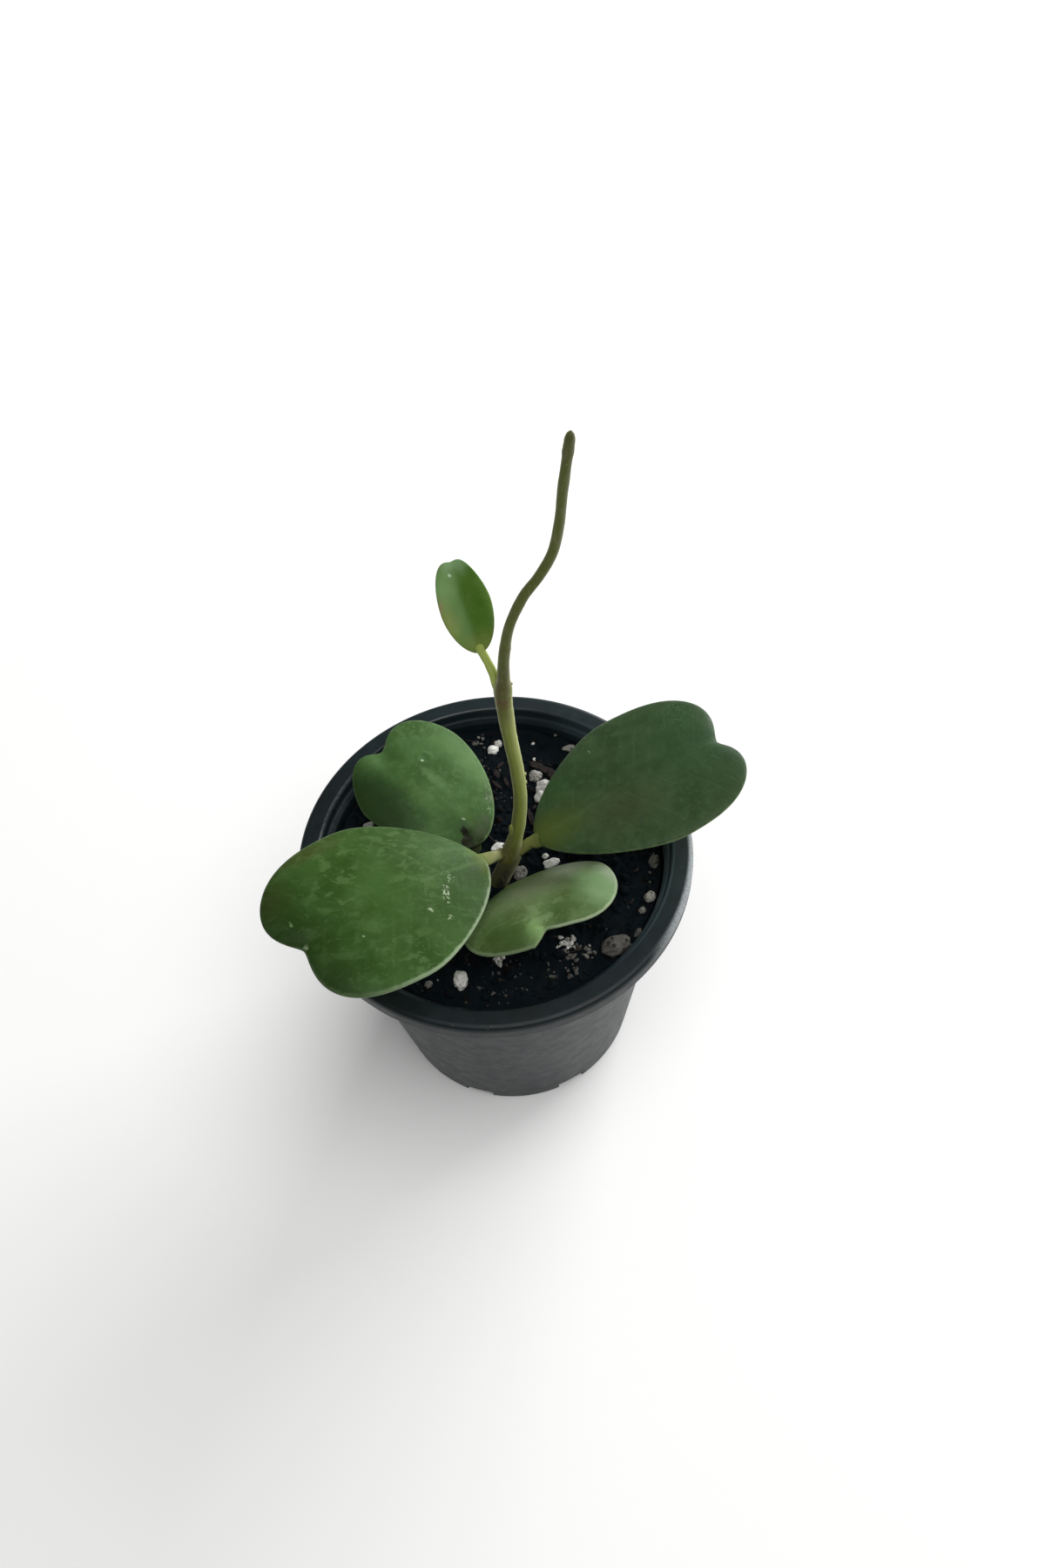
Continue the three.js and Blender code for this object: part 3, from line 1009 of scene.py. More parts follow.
@dataclass
class NurseryPot:
    """The moulded round pot: tapered wall, inner ledge, flat rim, skirt and drain slots.

    The profile goes from the foot up the outside, over the rim and down the inside, as the radius,
    height and rounding of each corner.
    """

    finish: SatinPlastic = field(default_factory=SatinPlastic)
    steps: int = 192
    slots: int = 8
    slot_steps: int = 7
    slot_inner: float = 33.6
    slot_top: float = 4.2
    floor: float = 2.2
    profile: tuple[Point, ...] = (
        (36.8, 0.0, 0.4),
        (37.6, 0.8, 0.4),
        (38.04, 4.2, 0.0),
        (47.6, 80.6, 0.5),
        (48.8, 86.6, 0.3),
        (52.5, 86.6, 0.3),
        (52.5, 83.1, 0.2),
        (53.1, 82.6, 0.2),
        (53.7, 82.6, 0.2),
        (54.0, 83.1, 0.2),
        (54.0, 86.7, 0.55),
        (53.6, 87.6, 0.4),
        (52.7, 88.0, 0.4),
        (48.8, 88.0, 0.2),
        (48.3, 87.6, 0.2),
        (47.7, 85.7, 0.3),
        (47.1, 85.2, 0.2),
        (46.3, 83.8, 0.3),
        (46.1, 80.0, 0.0),
        (36.46, 4.7, 0.0),
        (36.3, 3.5, 0.4),
        (35.0, 2.2, 0.4),
    )

    def draw_profile(self, bm: BMesh) -> None:
        """Draws half the pot's section as a wire and rounds its corners.

        Args:
            bm: Where it is drawn.
        """
        under = ((0.0, 0.0, 0.0), (self.slot_inner, 0.0, 0.0))
        inside = ((self.slot_inner, self.floor, 0.0), (0.0, self.floor, 0.0))
        rows = [*under, *self.profile, *inside]
        verts = draw_wire(bm, [row[:2] for row in rows])
        for radius in sorted({row[2] for row in rows if row[2] > 0}):
            corners = [vert for vert, row in zip(verts, rows) if row[2] == radius]
            bmesh.ops.bevel(
                bm, geom=corners, offset=radius, segments=3, profile=0.5, affect="VERTICES", material=-1
            )

    def cut_slots(self, bm: BMesh) -> None:
        """Opens the drain slots through the foot's corner and walls them.

        Args:
            bm: The spun pot.
        """
        pitch = TURN / self.steps
        half = self.slot_steps * pitch / 2
        for index in range(self.slots):
            middle = (index + 0.5) * TURN / self.slots
            middle = (math.floor(middle / pitch) + 0.5) * pitch
            cut = []
            for face in bm.faces:
                centre = face.calc_center_median()
                turn = (math.atan2(centre.y, centre.x) - middle + math.pi) % TURN - math.pi
                near = abs(turn) <= half and centre.xy.length >= self.slot_inner
                if near and centre.z <= self.slot_top + 0.5:
                    cut.append(face)
            bmesh.ops.delete(bm, geom=cut, context="FACES")
            edges = []
            for edge in bm.edges:
                place = edge.verts[0].co
                near = place.xy.length > self.slot_inner - 0.1 and place.z < self.slot_top + 1
                if edge.is_boundary and near:
                    edges.append(edge)
            bmesh.ops.bridge_loops(bm, edges=edges)

    def build(self) -> None:
        """Spins the section, opens the slots and dresses the pot."""
        bm = bmesh.new()
        self.draw_profile(bm)
        spin_wire(bm, self.steps)
        bmesh.ops.recalc_face_normals(bm, faces=bm.faces)
        self.cut_slots(bm)
        piece = finish_piece(bm, "nursery_pot", self.finish.build(), ["pot"])
        piece.modifiers.new("flat faces", "WEIGHTED_NORMAL").keep_sharp = True


@dataclass(frozen=True)
class Grain:
    """One large pale grain: its place, radius, tone from white 0 to drab 1, and how long it is."""

    x: float
    y: float
    radius: float
    tone: float
    long: float
    turn: float


@dataclass(frozen=True)
class Cluster:
    """A loose group of small pale bits: its middle, spread, count, size, and range of tones."""

    x: float
    y: float
    spread: float
    count: int
    radius: float
    tones: Pair


@dataclass(frozen=True)
class Chip:
    """One bark chip: its place, its turn and its three half widths."""

    x: float
    y: float
    turn: float
    size: Point


@dataclass(frozen=True)
class Crumble:
    """One scale of unevenness: its lumps' size and height, its seed, and how its octaves go on."""

    size: float
    height: float
    seed: float
    decay: float
    step: float

    def at(self, x: float, y: float) -> float:
        """Gives its height at a place."""
        place = Vector((x / self.size, y / self.size, self.seed))
        return self.height * noise.fractal(place, self.decay, self.step, 3)


@dataclass
class PottingMix:
    """The soil that fills the pot, with crumbs, bark, perlite and pumice on it.

    The waves of its top are the rate and shift of one along X and of one along Y, and the two rates
    of a slanting one. A crumb's or fleck's radius is the least and what is added to it at most.
    """

    soil: PottingSoil = field(default_factory=PottingSoil)
    stone: PaleStone = field(default_factory=PaleStone)
    bark: Bark = field(default_factory=Bark)
    level: float = 81.6
    mound: float = 0.5
    mound_radius: float = 46.3
    swell: float = 0.34
    waves: tuple[Pair, Pair, Pair] = ((0.31, 1.3), (0.27, -0.6), (0.73, -0.52))
    coarse: Crumble = Crumble(4.2, 0.55, 3.1, 0.9, 2.1)
    fine: Crumble = Crumble(1.3, 0.28, 9.7, 0.8, 2.2)
    edge: float = 45.6
    side: tuple[Pair, ...] = ((45.4, 79.5), (44.6, 70.0), (35.6, 3.8), (34.4, 2.6), (0.0, 2.6))
    rings: int = 84
    steps: int = 288
    stem_foot: Pair = (1.0, -7.6)
    stem_room: float = 3.4
    crumbs: int = 1500
    crumb_radius: Pair = (0.25, 0.6)
    crumb_shape: tuple[Pair, ...] = ((0.8, 1.35), (0.7, 1.0), (0.5, 0.9))
    lumps: int = 150
    lump_radius: Pair = (0.8, 1.7)
    flecks: int = 190
    fleck_radius: Pair = (0.12, 0.36)
    fleck_tones: tuple[float, ...] = (0.93, 0.97, 1.0, 1.0)
    slivers: int = 44
    sliver_length: Pair = (0.7, 2.3)
    sliver_width: Pair = (0.12, 0.34)
    seed: int = 23
    chips: tuple[Chip, ...] = (
        Chip(16.0, 28.4, -0.56, (4.3, 1.25, 0.6)),
        Chip(18.2, 25.6, -1.1, (1.9, 1.0, 0.5)),
        Chip(3.6, 31.5, 0.9, (1.5, 0.5, 0.3)),
        Chip(-2.4, 33.6, 0.3, (1.3, 0.45, 0.3)),
        Chip(2.4, 28.2, -1.2, (1.6, 0.7, 0.4)),
        Chip(2.0, 24.2, -0.9, (1.7, 0.6, 0.4)),
        Chip(4.9, 25.0, -1.3, (1.5, 0.5, 0.4)),
        Chip(10.8, 11.5, -1.4, (2.6, 0.6, 0.5)),
    )
    chip_lift: float = 0.35
    chip_tilt: float = 0.12
    chip_cuts: int = 9
    grains: tuple[Grain, ...] = (
        Grain(1.9, 37.2, 1.6, 0.08, 1.15, 0.2),
        Grain(3.6, 39.3, 1.2, 0.3, 1.1, 1.2),
        Grain(-3.1, 40.6, 0.9, 0.8, 1.5, 0.1),
        Grain(24.2, 35.2, 1.5, 0.66, 1.5, -0.2),
        Grain(13.5, 26.1, 1.9, 0.5, 1.1, 0.0),
        Grain(15.2, 21.8, 2.3, 0.3, 1.2, 0.9),
        Grain(14.2, 18.4, 1.7, 0.27, 1.7, 1.2),
        Grain(0.9, 2.5, 1.8, 0.22, 1.3, 0.5),
        Grain(6.4, -6.6, 2.0, 0.74, 1.25, 1.0),
        Grain(15.0, -4.4, 1.7, 0.0, 1.6, 0.2),
        Grain(43.0, -6.8, 1.7, 0.85, 1.5, 1.3),
        Grain(40.2, -18.0, 1.6, 0.64, 1.3, 0.9),
        Grain(37.7, -21.6, 1.0, 0.75, 1.1, 0.2),
        Grain(29.2, -31.6, 3.3, 0.9, 1.35, 0.25),
        Grain(-11.7, -36.2, 2.2, 0.26, 1.4, 1.5),
        Grain(-20.0, -36.6, 1.0, 0.75, 1.2, 0.8),
        Grain(-35.3, 15.1, 1.4, 0.4, 1.2, 0.5),
        Grain(13.7, -1.5, 0.85, 0.0, 1.1, 0.0),
        Grain(35.6, -28.0, 1.1, 0.9, 1.6, 0.9),
        Grain(13.9, 38.3, 0.5, 0.3, 1.3, 0.4),
        Grain(13.8, 32.8, 0.6, 0.25, 1.2, 1.4),
        Grain(20.9, 41.1, 0.5, 0.8, 1.3, 0.9),
        Grain(41.4, -9.9, 0.42, 0.9, 1.2, 0.1),
        Grain(40.9, -13.0, 0.42, 0.9, 1.2, 0.7),
    )
    clusters: tuple[Cluster, ...] = (
        Cluster(17.1, -28.9, 1.2, 15, 0.5, (0.1, 0.5)),
        Cluster(15.0, -29.9, 0.8, 8, 0.5, (0.1, 0.5)),
        Cluster(16.6, -32.4, 1.0, 14, 0.5, (0.75, 0.95)),
        Cluster(19.6, -30.2, 0.8, 9, 0.45, (0.8, 1.0)),
        Cluster(22.8, -32.2, 1.0, 17, 0.5, (0.72, 0.93)),
        Cluster(-1.5, -32.2, 0.8, 12, 0.6, (0.1, 0.5)),
        Cluster(-1.0, -35.6, 1.4, 9, 0.38, (0.7, 1.0)),
        Cluster(11.2, -36.4, 1.4, 11, 0.4, (0.92, 1.0)),
        Cluster(16.0, -36.4, 1.4, 11, 0.45, (0.84, 0.98)),
        Cluster(2.0, -40.0, 2.6, 10, 0.35, (0.94, 1.0)),
        Cluster(-19.8, -36.5, 0.9, 5, 0.5, (0.5, 0.9)),
        Cluster(0.0, 29.5, 2.4, 18, 0.34, (0.93, 1.0)),
        Cluster(1.6, 20.0, 1.8, 10, 0.32, (0.94, 1.0)),
        Cluster(-1.2, 41.4, 1.2, 6, 0.4, (0.65, 0.95)),
        Cluster(-1.0, -38.6, 3.0, 22, 0.28, (0.93, 1.0)),
    )

    def height(self, x: float, y: float) -> float:
        """Gives the height of the bed, as the packed soil has it.

        Args:
            x: Millimetres along X.
            y: Millimetres along Y.

        Returns:
            Millimetres above the pot's foot.
        """
        mound = self.mound * (1 - (x * x + y * y) / self.mound_radius**2)
        (a, b), (c, d), (e, f) = self.waves
        waves = math.sin(a * x + b) * math.sin(c * y + d) + math.sin(e * x + f * y)
        return self.level + mound + self.swell * waves

    def rough(self, x: float, y: float) -> float:
        """Gives the height of the bed with its crumbly unevenness."""
        return self.height(x, y) + self.coarse.at(x, y) + self.fine.at(x, y)

    def build_bed(self, soil: Material) -> None:
        """Spins the plug of soil and roughens its top.

        Args:
            soil: Its finish.
        """
        bm = bmesh.new()
        step = self.edge / self.rings
        draw_wire(bm, [(step * i, self.level) for i in range(self.rings + 1)] + list(self.side))
        spin_wire(bm, self.steps)
        tone = new_layers(bm, ("tone",))["tone"]
        for vert in bm.verts:
            x, y, z = vert.co
            vert[tone] = 0.3
            if z > self.level - 0.01:
                vert.co.z = self.rough(x, y)
                vert[tone] = 0.25 + 0.5 * noise.noise(Vector((x / 2.1, y / 2.1, 5.0)))
        finish_piece(bm, "soil_bed", soil, ["soil"])

    def scatter(self, rng: random.Random, reach: float) -> Pair:
        """Picks a place on the bed, clear of the stem's foot.

        Args:
            rng: The seeded draw.
            reach: How far out it may lie.

        Returns:
            Its x and y.
        """
        while True:
            radius = reach * math.sqrt(rng.random())
            turn = rng.uniform(0, TURN)
            place = (radius * math.cos(turn), radius * math.sin(turn))
            if math.dist(place, self.stem_foot) > self.stem_room:
                return place

    def lump(
        self,
        bm: BMesh,
        rng: random.Random,
        centre: Vector,
        size: Point,
        detail: int,
        tone: float,
        jag: float = 0.42,
    ) -> list[BMVert]:
        """Adds one angular lump.

        Args:
            bm: Where it is drawn.
            rng: The seeded draw.
            centre: Its middle.
            size: Its three half widths.
            detail: How finely it is divided.
            tone: Its colour's tone.
            jag: How far its faces stand out and fall in.

        Returns:
            Its vertices.
        """
        spin = turned(rng.uniform(0, TURN), "Z") @ turned(rng.uniform(-0.5, 0.5), "X")
        seed = Vector([rng.uniform(0, 90) for _ in range(3)])
        made = bmesh.ops.create_icosphere(bm, subdivisions=detail, radius=1.0)["verts"]
        layer = bm.verts.layers.float["tone"]
        for vert in made:
            vert.co *= 1 + jag * noise.noise(vert.co * 1.3 + seed)
            vert[layer] = tone
        bmesh.ops.transform(bm, matrix=Matrix.Translation(centre) @ spin @ sized(size), verts=made)
        return made

    def build_crumbs(self, soil: Material) -> None:
        """Scatters the soil's crumbs, small and large.

        Args:
            soil: Their finish.
        """
        rng = random.Random(self.seed)
        heap = Heap(("tone",))
        for index in range(self.crumbs + self.lumps):
            large = index >= self.crumbs
            least, more = self.crumb_radius
            radius = rng.uniform(*self.lump_radius) if large else least + more * rng.random() ** 1.8
            x, y = self.scatter(rng, self.edge - 0.4 - radius * 1.3)
            size = tuple(radius * rng.uniform(*span) for span in self.crumb_shape)
            centre = Vector((x, y, self.rough(x, y) + size[2] * rng.uniform(-0.25, 0.35)))
            self.lump(heap.next(), rng, centre, size, 2 if large else 1, rng.random() ** 1.6)
        finish_piece(heap.close(), "soil_crumbs", soil)

    def draw_chip(self, chip: Chip) -> BMesh:
        """Draws one curved, ragged and fibrous bark chip from a divided block.

        Args:
            chip: Its place and size.

        Returns:
            Its mesh.
        """
        bm = bmesh.new()
        bmesh.ops.create_cube(bm, size=2.0)
        bmesh.ops.subdivide_edges(bm, edges=bm.edges[:], cuts=self.chip_cuts, use_grid_fill=True)
        seed = Vector((chip.x, chip.y, 1.0))
        for vert in bm.verts:
            x, y, _ = vert.co
            vert.co.y = y * (1 - 0.35 * abs(x) ** 2.5)
            vert.co.x = x * (1 - 0.15 * abs(y) ** 2)
            vert.co += 0.26 * noise.noise_vector(vert.co * 1.7 + seed)
            vert.co.z += 0.14 * noise.noise(Vector((x, y * 9, 2)) + seed) - 0.2 * x * x
        place = Matrix.Translation((chip.x, chip.y, self.height(chip.x, chip.y) + self.chip_lift))
        shape = turned(chip.turn, "Z") @ turned(self.chip_tilt, "Y") @ sized(chip.size)
        bmesh.ops.transform(bm, matrix=place @ shape, verts=bm.verts)
        return bm

    def build_bark(self, bark: Material) -> None:
        """Lays the bark chips and strews thin fibres.

        Args:
            bark: Their finish.
        """
        rng = random.Random(self.seed + 1)
        # Without a seed, noise vectors differ from run to run.
        noise.seed_set(self.seed)
        bm = bmesh.new()
        for chip in self.chips:
            pour(self.draw_chip(chip), bm)
        for _ in range(self.slivers):
            x, y = self.scatter(rng, self.edge - 3.5)
            length, width = rng.uniform(*self.sliver_length), rng.uniform(*self.sliver_width)
            made = bmesh.ops.create_cube(bm, size=2.0)["verts"]
            for vert in made:
                vert.co += Vector([rng.uniform(-0.35, 0.35) for _ in range(3)])
            place = Matrix.Translation((x, y, self.rough(x, y) + width * 0.6))
            tip = turned(rng.uniform(-0.35, 0.35), "Y")
            turn = turned(rng.uniform(0, TURN), "Z")
            shape = sized((length, width, width * 0.7))
            bmesh.ops.transform(bm, matrix=place @ turn @ tip @ shape, verts=made)
        finish_piece(bm, "bark_chips", bark)

    def draw_grain(self, heap: Heap, grain: Grain) -> None:
        """Draws one large pale grain, lumpy and pitted.

        Args:
            heap: Where it is put.
            grain: Its place, size and tone.
        """
        bm = heap.next()
        tone, rise = (bm.verts.layers.float[key] for key in heap.layers)
        size = Vector((grain.radius * grain.long, grain.radius, grain.radius * 0.85))
        size /= max(1.0, grain.long) ** 0.4
        ground = self.height(grain.x, grain.y)
        place = Matrix.Translation((grain.x, grain.y, ground + size.z * 0.25))
        seed = Vector((grain.x, grain.y, 7.0))
        made = bmesh.ops.create_icosphere(bm, subdivisions=4, radius=1.0)["verts"]
        for vert in made:
            big = noise.noise(vert.co * 1.1 + seed)
            mid = noise.noise(vert.co * 2.7 + seed)
            pits = min(0.0, noise.noise(vert.co * 5.2 + seed) + 0.12)
            vert.co *= 1 + 0.3 * big + 0.16 * mid + 0.35 * pits
            vert[tone] = grain.tone
        bmesh.ops.transform(bm, matrix=place @ turned(grain.turn, "Z") @ sized(size), verts=made)
        for vert in made:
            vert[rise] = (vert.co.z - ground) / grain.radius

    def draw_fleck(self, heap: Heap, rng: random.Random, place: Pair, radius: float, tone: float) -> None:
        """Drops one small angular bit of perlite.

        Args:
            heap: Where it is put.
            rng: The seeded draw.
            place: Its x and y.
            radius: Its half width.
            tone: Its colour's tone.
        """
        bm = heap.next()
        size = (radius * rng.uniform(0.9, 1.5), radius, radius * rng.uniform(0.6, 1.0))
        centre = Vector((*place, self.rough(*place) + size[2] * 0.3))
        lift = rng.uniform(0.1, 0.7)
        rise = bm.verts.layers.float["rise"]
        for vert in self.lump(bm, rng, centre, size, 2 if radius > 0.4 else 1, tone, 0.85):
            vert[rise] = lift

    def build_stones(self, stone: Material) -> None:
        """Sets the large pale grains and strews the small flecks of perlite.

        Args:
            stone: Their finish.
        """
        rng = random.Random(self.seed + 2)
        heap = Heap(("tone", "rise"), 12)
        for grain in self.grains:
            self.draw_grain(heap, grain)
        for cluster in self.clusters:
            for _ in range(cluster.count):
                place = (rng.gauss(cluster.x, cluster.spread), rng.gauss(cluster.y, cluster.spread))
                radius = cluster.radius * rng.uniform(0.5, 1.3)
                self.draw_fleck(heap, rng, place, radius, rng.uniform(*cluster.tones))
        for _ in range(self.flecks):
            place = self.scatter(rng, self.edge - 1.2)
            radius = self.fleck_radius[0] + self.fleck_radius[1] * rng.random() ** 3
            self.draw_fleck(heap, rng, place, radius, rng.choice(self.fleck_tones))
        finish_piece(heap.close(), "perlite_and_pumice", stone)

    def build(self) -> None:
        """Builds the bed and everything on it."""
        soil = self.soil.build()
        self.build_bed(soil)
        self.build_crumbs(soil)
        self.build_bark(self.bark.build())
        self.build_stones(self.stone.build())


@dataclass(frozen=True)
class Scar:
    """A leaf scar or a ring round the stem: where it is, how wide, how far it stands out, and its colour.

    A scar with a direction is coloured on that side only.
    """

    share: float
    width: float
    proud: float
    colour: float
    towards: Point = (0.0, 0.0, 0.0)

    def tint(self, share: float, away: Vector) -> float:
        """Gives its colour's strength at a place on the stem that faces a given way."""
        side = smooth(away.dot(Vector(self.towards)), 0.35, 0.9) if any(self.towards) else 1.0
        return self.colour * side * bell(share - self.share, self.width)


@dataclass(frozen=True)
class Shoulder:
    """A one-sided swelling under a petiole: its place, length, direction and how far it stands out."""

    share: float
    length: float
    towards: Point
    proud: float

    def swell(self, share: float, away: Vector) -> float:
        """Gives how far it stands out at a place on the stem that faces a given way."""
        facing = max(0.0, away.dot(Vector(self.towards))) ** 2
        return facing * self.proud * bell(share - self.share, self.length)


@dataclass(frozen=True)
class Bud:
    """The small bud of an air root: its place, its half width and how long it is for that."""

    x: float
    y: float
    z: float
    radius: float
    long: float


@dataclass
class Stem:
    """The one stem, from its foot in the soil through both nodes to the blunt end of the bare vine.

    The path has the points that its centre line passes, and radii has its radius at shares of its length.
    """

    finish: StemSkin = field(default_factory=StemSkin)
    rings: int = 300
    sides: int = 28
    # The way that the stem's painted light comes from.
    right: Point = (0.995, 0.09, 0.0)
    unevenness: float = 0.055
    fluting: float = 0.02
    flutes: int = 5
    path: tuple[Point, ...] = (
        (0.1, -8.1, 64), (0.6, -7.8, 75), (0.8, -7.6, 82.4), (2.9, -7.1, 88), (4.9, -6.5, 95),
        (7.2, -5.8, 104.4), (8.6, -4.9, 114.8), (8.6, -4.0, 126), (7.8, -3.1, 137), (7.3, -2.0, 150),
        (7.8, -1.5, 157.5), (8.6, -0.9, 164.2), (10.2, -0.4, 171.6), (13.7, 0.3, 179.2),
        (17.3, 0.7, 184.2), (20.3, 1.2, 189.6), (22.0, 1.7, 196.5), (23.1, 2.3, 204.6),
        (24.4, 3.0, 212.4), (25.1, 3.3, 216.7),
    )
    radii: tuple[Pair, ...] = (
        (0, 2.5), (0.11, 2.5), (0.15, 2.45), (0.178, 2.6), (0.205, 2.2), (0.25, 1.85), (0.35, 1.72),
        (0.46, 1.74), (0.515, 1.84), (0.54, 1.94), (0.572, 1.9), (0.6, 1.45), (0.635, 1.28),
        (0.7, 1.14), (0.8, 1.12), (0.93, 1.1), (0.965, 1.06), (0.978, 1.17), (0.989, 1.1),
        (0.995, 0.92), (0.998, 0.66), (1, 0.3),
    )
    buds: tuple[Bud, ...] = (
        Bud(9.45, -1.8, 155.2, 0.3, 1.0),
        Bud(10.3, -4.5, 121.5, 0.42, 1.6),
        Bud(10.4, -4.3, 124.5, 0.36, 1.4),
        Bud(5.55, -6.5, 103.6, 0.8, 3.6),
        Bud(8.9, -3.1, 152.6, 0.3, 1.0),
    )
    scars: tuple[Scar, ...] = (
        Scar(0.152, 0.008, 0.12, 0.1),
        Scar(0.186, 0.007, 0.1, 0.2),
        Scar(0.550, 0.003, 0.06, 0.45, (0.1, -0.99, 0.0)),
        Scar(0.560, 0.0055, 0.06, 0.95, (-0.3, -0.95, 0.0)),
        Scar(0.568, 0.003, 0.07, 0.35),
        Scar(0.586, 0.010, 0.06, 0.35, (-0.3, -0.95, 0.0)),
        Scar(0.656, 0.003, 0.05, 0.35),
        Scar(0.972, 0.004, 0.08, 0.3),
    )
    shoulders: tuple[Shoulder, ...] = (
        Shoulder(0.186, 0.017, (-0.93, -0.36, 0.0), 0.85),
        Shoulder(0.185, 0.02, (0.99, 0.05, 0.0), 0.35),
        Shoulder(0.572, 0.02, (-0.85, 0.5, 0.0), 0.35),
        Shoulder(0.578, 0.014, (0.9, -0.3, 0.0), 0.2),
    )

    def shape_ring(self, ring: Ring, layers: Layers) -> None:
        """Swells one ring of the stem and colours it.

        Args:
            ring: The ring.
            layers: The numbers that its vertices carry.
        """
        proud = sum(scar.proud * bell(ring.share - scar.share, scar.width) for scar in self.scars)
        taper = min(1.0, (1 - ring.share) * 60)
        for vert in ring.verts:
            out = vert.co - ring.centre
            radius = max(out.length, 1e-6)
            away = out / radius
            lumps = noise.fractal(vert.co / 5.0, 1.0, 2.0, 3)
            turn = math.atan2(away.dot(ring.up), away.dot(ring.side))
            fluting = self.fluting * math.cos(self.flutes * turn + ring.share * 9)
            for shoulder in self.shoulders:
                vert.co += away * shoulder.swell(ring.share, away)
            vert.co += away * (radius * (self.unevenness * lumps + fluting) + proud) * taper
            scar = min(1.0, sum(scar.tint(ring.share, away) for scar in self.scars))
            note(vert, layers, share=ring.share, right=away.dot(Vector(self.right)), scar=scar)

    def add_bud(self, bm: BMesh, rings: Sequence[Ring], layers: Layers, bud: Bud) -> None:
        """Adds one bud, coloured as the stem beside it.

        Args:
            bm: Where it is drawn.
            rings: The stem's rings.
            layers: The numbers that every vertex carries.
            bud: Its place and size.
        """
        centre = Vector((bud.x, bud.y, bud.z))
        nearest = min(rings, key=lambda ring: (ring.centre - centre).length)
        made = bmesh.ops.create_icosphere(bm, subdivisions=3, radius=1.0)["verts"]
        for vert in made:
            vert.co *= 1 + 0.2 * noise.noise(vert.co * 1.7 + centre)
            # The right value sets how much of the stem's painted light a bud takes: full on the right of the
            # stem, little on the left.
            right = 0.95 if bud.x > nearest.centre.x else 0.2
            note(vert, layers, share=nearest.share, right=right, scar=0.05)
        size = sized((bud.radius, bud.radius, bud.radius * bud.long))
        bmesh.ops.transform(bm, matrix=Matrix.Translation(centre) @ size, verts=made)

    def build(self) -> None:
        """Draws the stem, swells its nodes and dresses it."""
        bm = bmesh.new()
        layers = new_layers(bm, ("share", "right", "scar"))
        stations = []
        for index, place in enumerate(spline(self.path, self.rings)):
            share = index / (self.rings - 1)
            radius = along_table(self.radii, share)
            stations.append(Station(place, radius, radius, share))
        rings = sweep(bm, stations, self.sides, Vector((1, 0, 0)))
        for ring in rings:
            self.shape_ring(ring, layers)
        for bud in self.buds:
            self.add_bud(bm, rings, layers, bud)
        finish_piece(bm, "stem_and_vine", self.finish.build(), ["stem"])


@dataclass(frozen=True)
class Outline:
    """The blade's notched outline, measured from the middle of the blade.

    The mucro is the short point that stands out of the outline at an angle of its own.
    """

    base_reach: float
    tip_reach: float
    left_width: float
    right_width: float
    lobe_difference: float
    base_fullness: float
    tip_fullness: float
    notch_depth: float
    notch_width: float
    notch_skew: float
    notch_sharpness: float
    notch_angle: float
    mucro_angle: float = 0.0
    mucro_height: float = 0.0
    mucro_width: float = 0.045
    mucro_sharpness: float = 1.3
    change: float = 3.0

    @property
    def length(self) -> float:
        """Gives the blade's length along the midrib."""
        return self.base_reach + self.tip_reach

    def reach(self, angle: float) -> float:
        """Gives the distance from the middle to the edge.

        Args:
            angle: The direction, 0 towards the tip.

        Returns:
            Millimetres.
        """
        c, s = math.cos(angle), math.sin(angle)
        tip = 0.5 * (1 + math.tanh(self.change * c))
        fullness = self.base_fullness + (self.tip_fullness - self.base_fullness) * tip
        along = self.tip_reach + self.lobe_difference * s if c > 0 else self.base_reach
        across = self.left_width if s > 0 else self.right_width
        oval = (abs(c / along) ** fullness + abs(s / across) ** fullness) ** (-1 / fullness)
        off = (angle - self.notch_angle + math.pi) % TURN - math.pi
        width = self.notch_width if off > 0 else self.notch_width * self.notch_skew
        notch = self.notch_depth * math.exp(-((abs(off) / width) ** self.notch_sharpness))
        aside = abs(angle - self.mucro_angle) / self.mucro_width
        return oval * (1 - notch) + self.mucro_height * math.exp(-(aside**self.mucro_sharpness))


@dataclass(frozen=True)
class Hang:
    """Where the blade starts and how it is held: turned, raised, rolled, drooping and cupped."""

    base: Point
    turn: float
    rise: float
    roll: float
    droop: float
    cup: float


@dataclass(frozen=True)
class Dimple:
    """A small dent in the upper face, or a blister if its depth is negative, and the lip round it.

    The lip stands lip_at radii from the middle and is lip_width radii wide.
    """

    x: float
    y: float
    radius: float
    depth: float
    lip: float = 0.0
    lip_at: float = 1.35
    lip_width: float = 0.35
    sharpness: float = 1.6

    def rise(self, x: float, y: float) -> float:
        """Gives how far it raises the face here.

        Args:
            x: Millimetres along the midrib from the base.
            y: Millimetres across it.

        Returns:
            Millimetres, below zero in a dent.
        """
        away = math.hypot(x - self.x, y - self.y) / self.radius
        dent = self.depth * math.exp(-(away**2) * self.sharpness)
        return self.lip * bell(away - self.lip_at, self.lip_width) - dent


@dataclass(frozen=True)
class Valley:
    """A fold of the whole blade: deepest at its first end, gone at its second, in the blade's own measure."""

    x: float
    y: float
    end_x: float
    end_y: float
    width: float
    depth: float

    def sink(self, x: float, y: float) -> float:
        """Gives how far the blade sinks here.

        Args:
            x: Millimetres along the midrib from the base.
            y: Millimetres across it.

        Returns:
            Millimetres.
        """
        run = Vector((self.end_x - self.x, self.end_y - self.y))
        here = Vector((x - self.x, y - self.y))
        share = here.dot(run) / run.length_squared
        near = run * min(1.0, max(-1.0, share))
        width = self.width * (1 + 0.5 * max(0.0, share))
        return self.depth * (1 - smooth(share, -0.2, 1.0)) * bell((here - near).length, width)


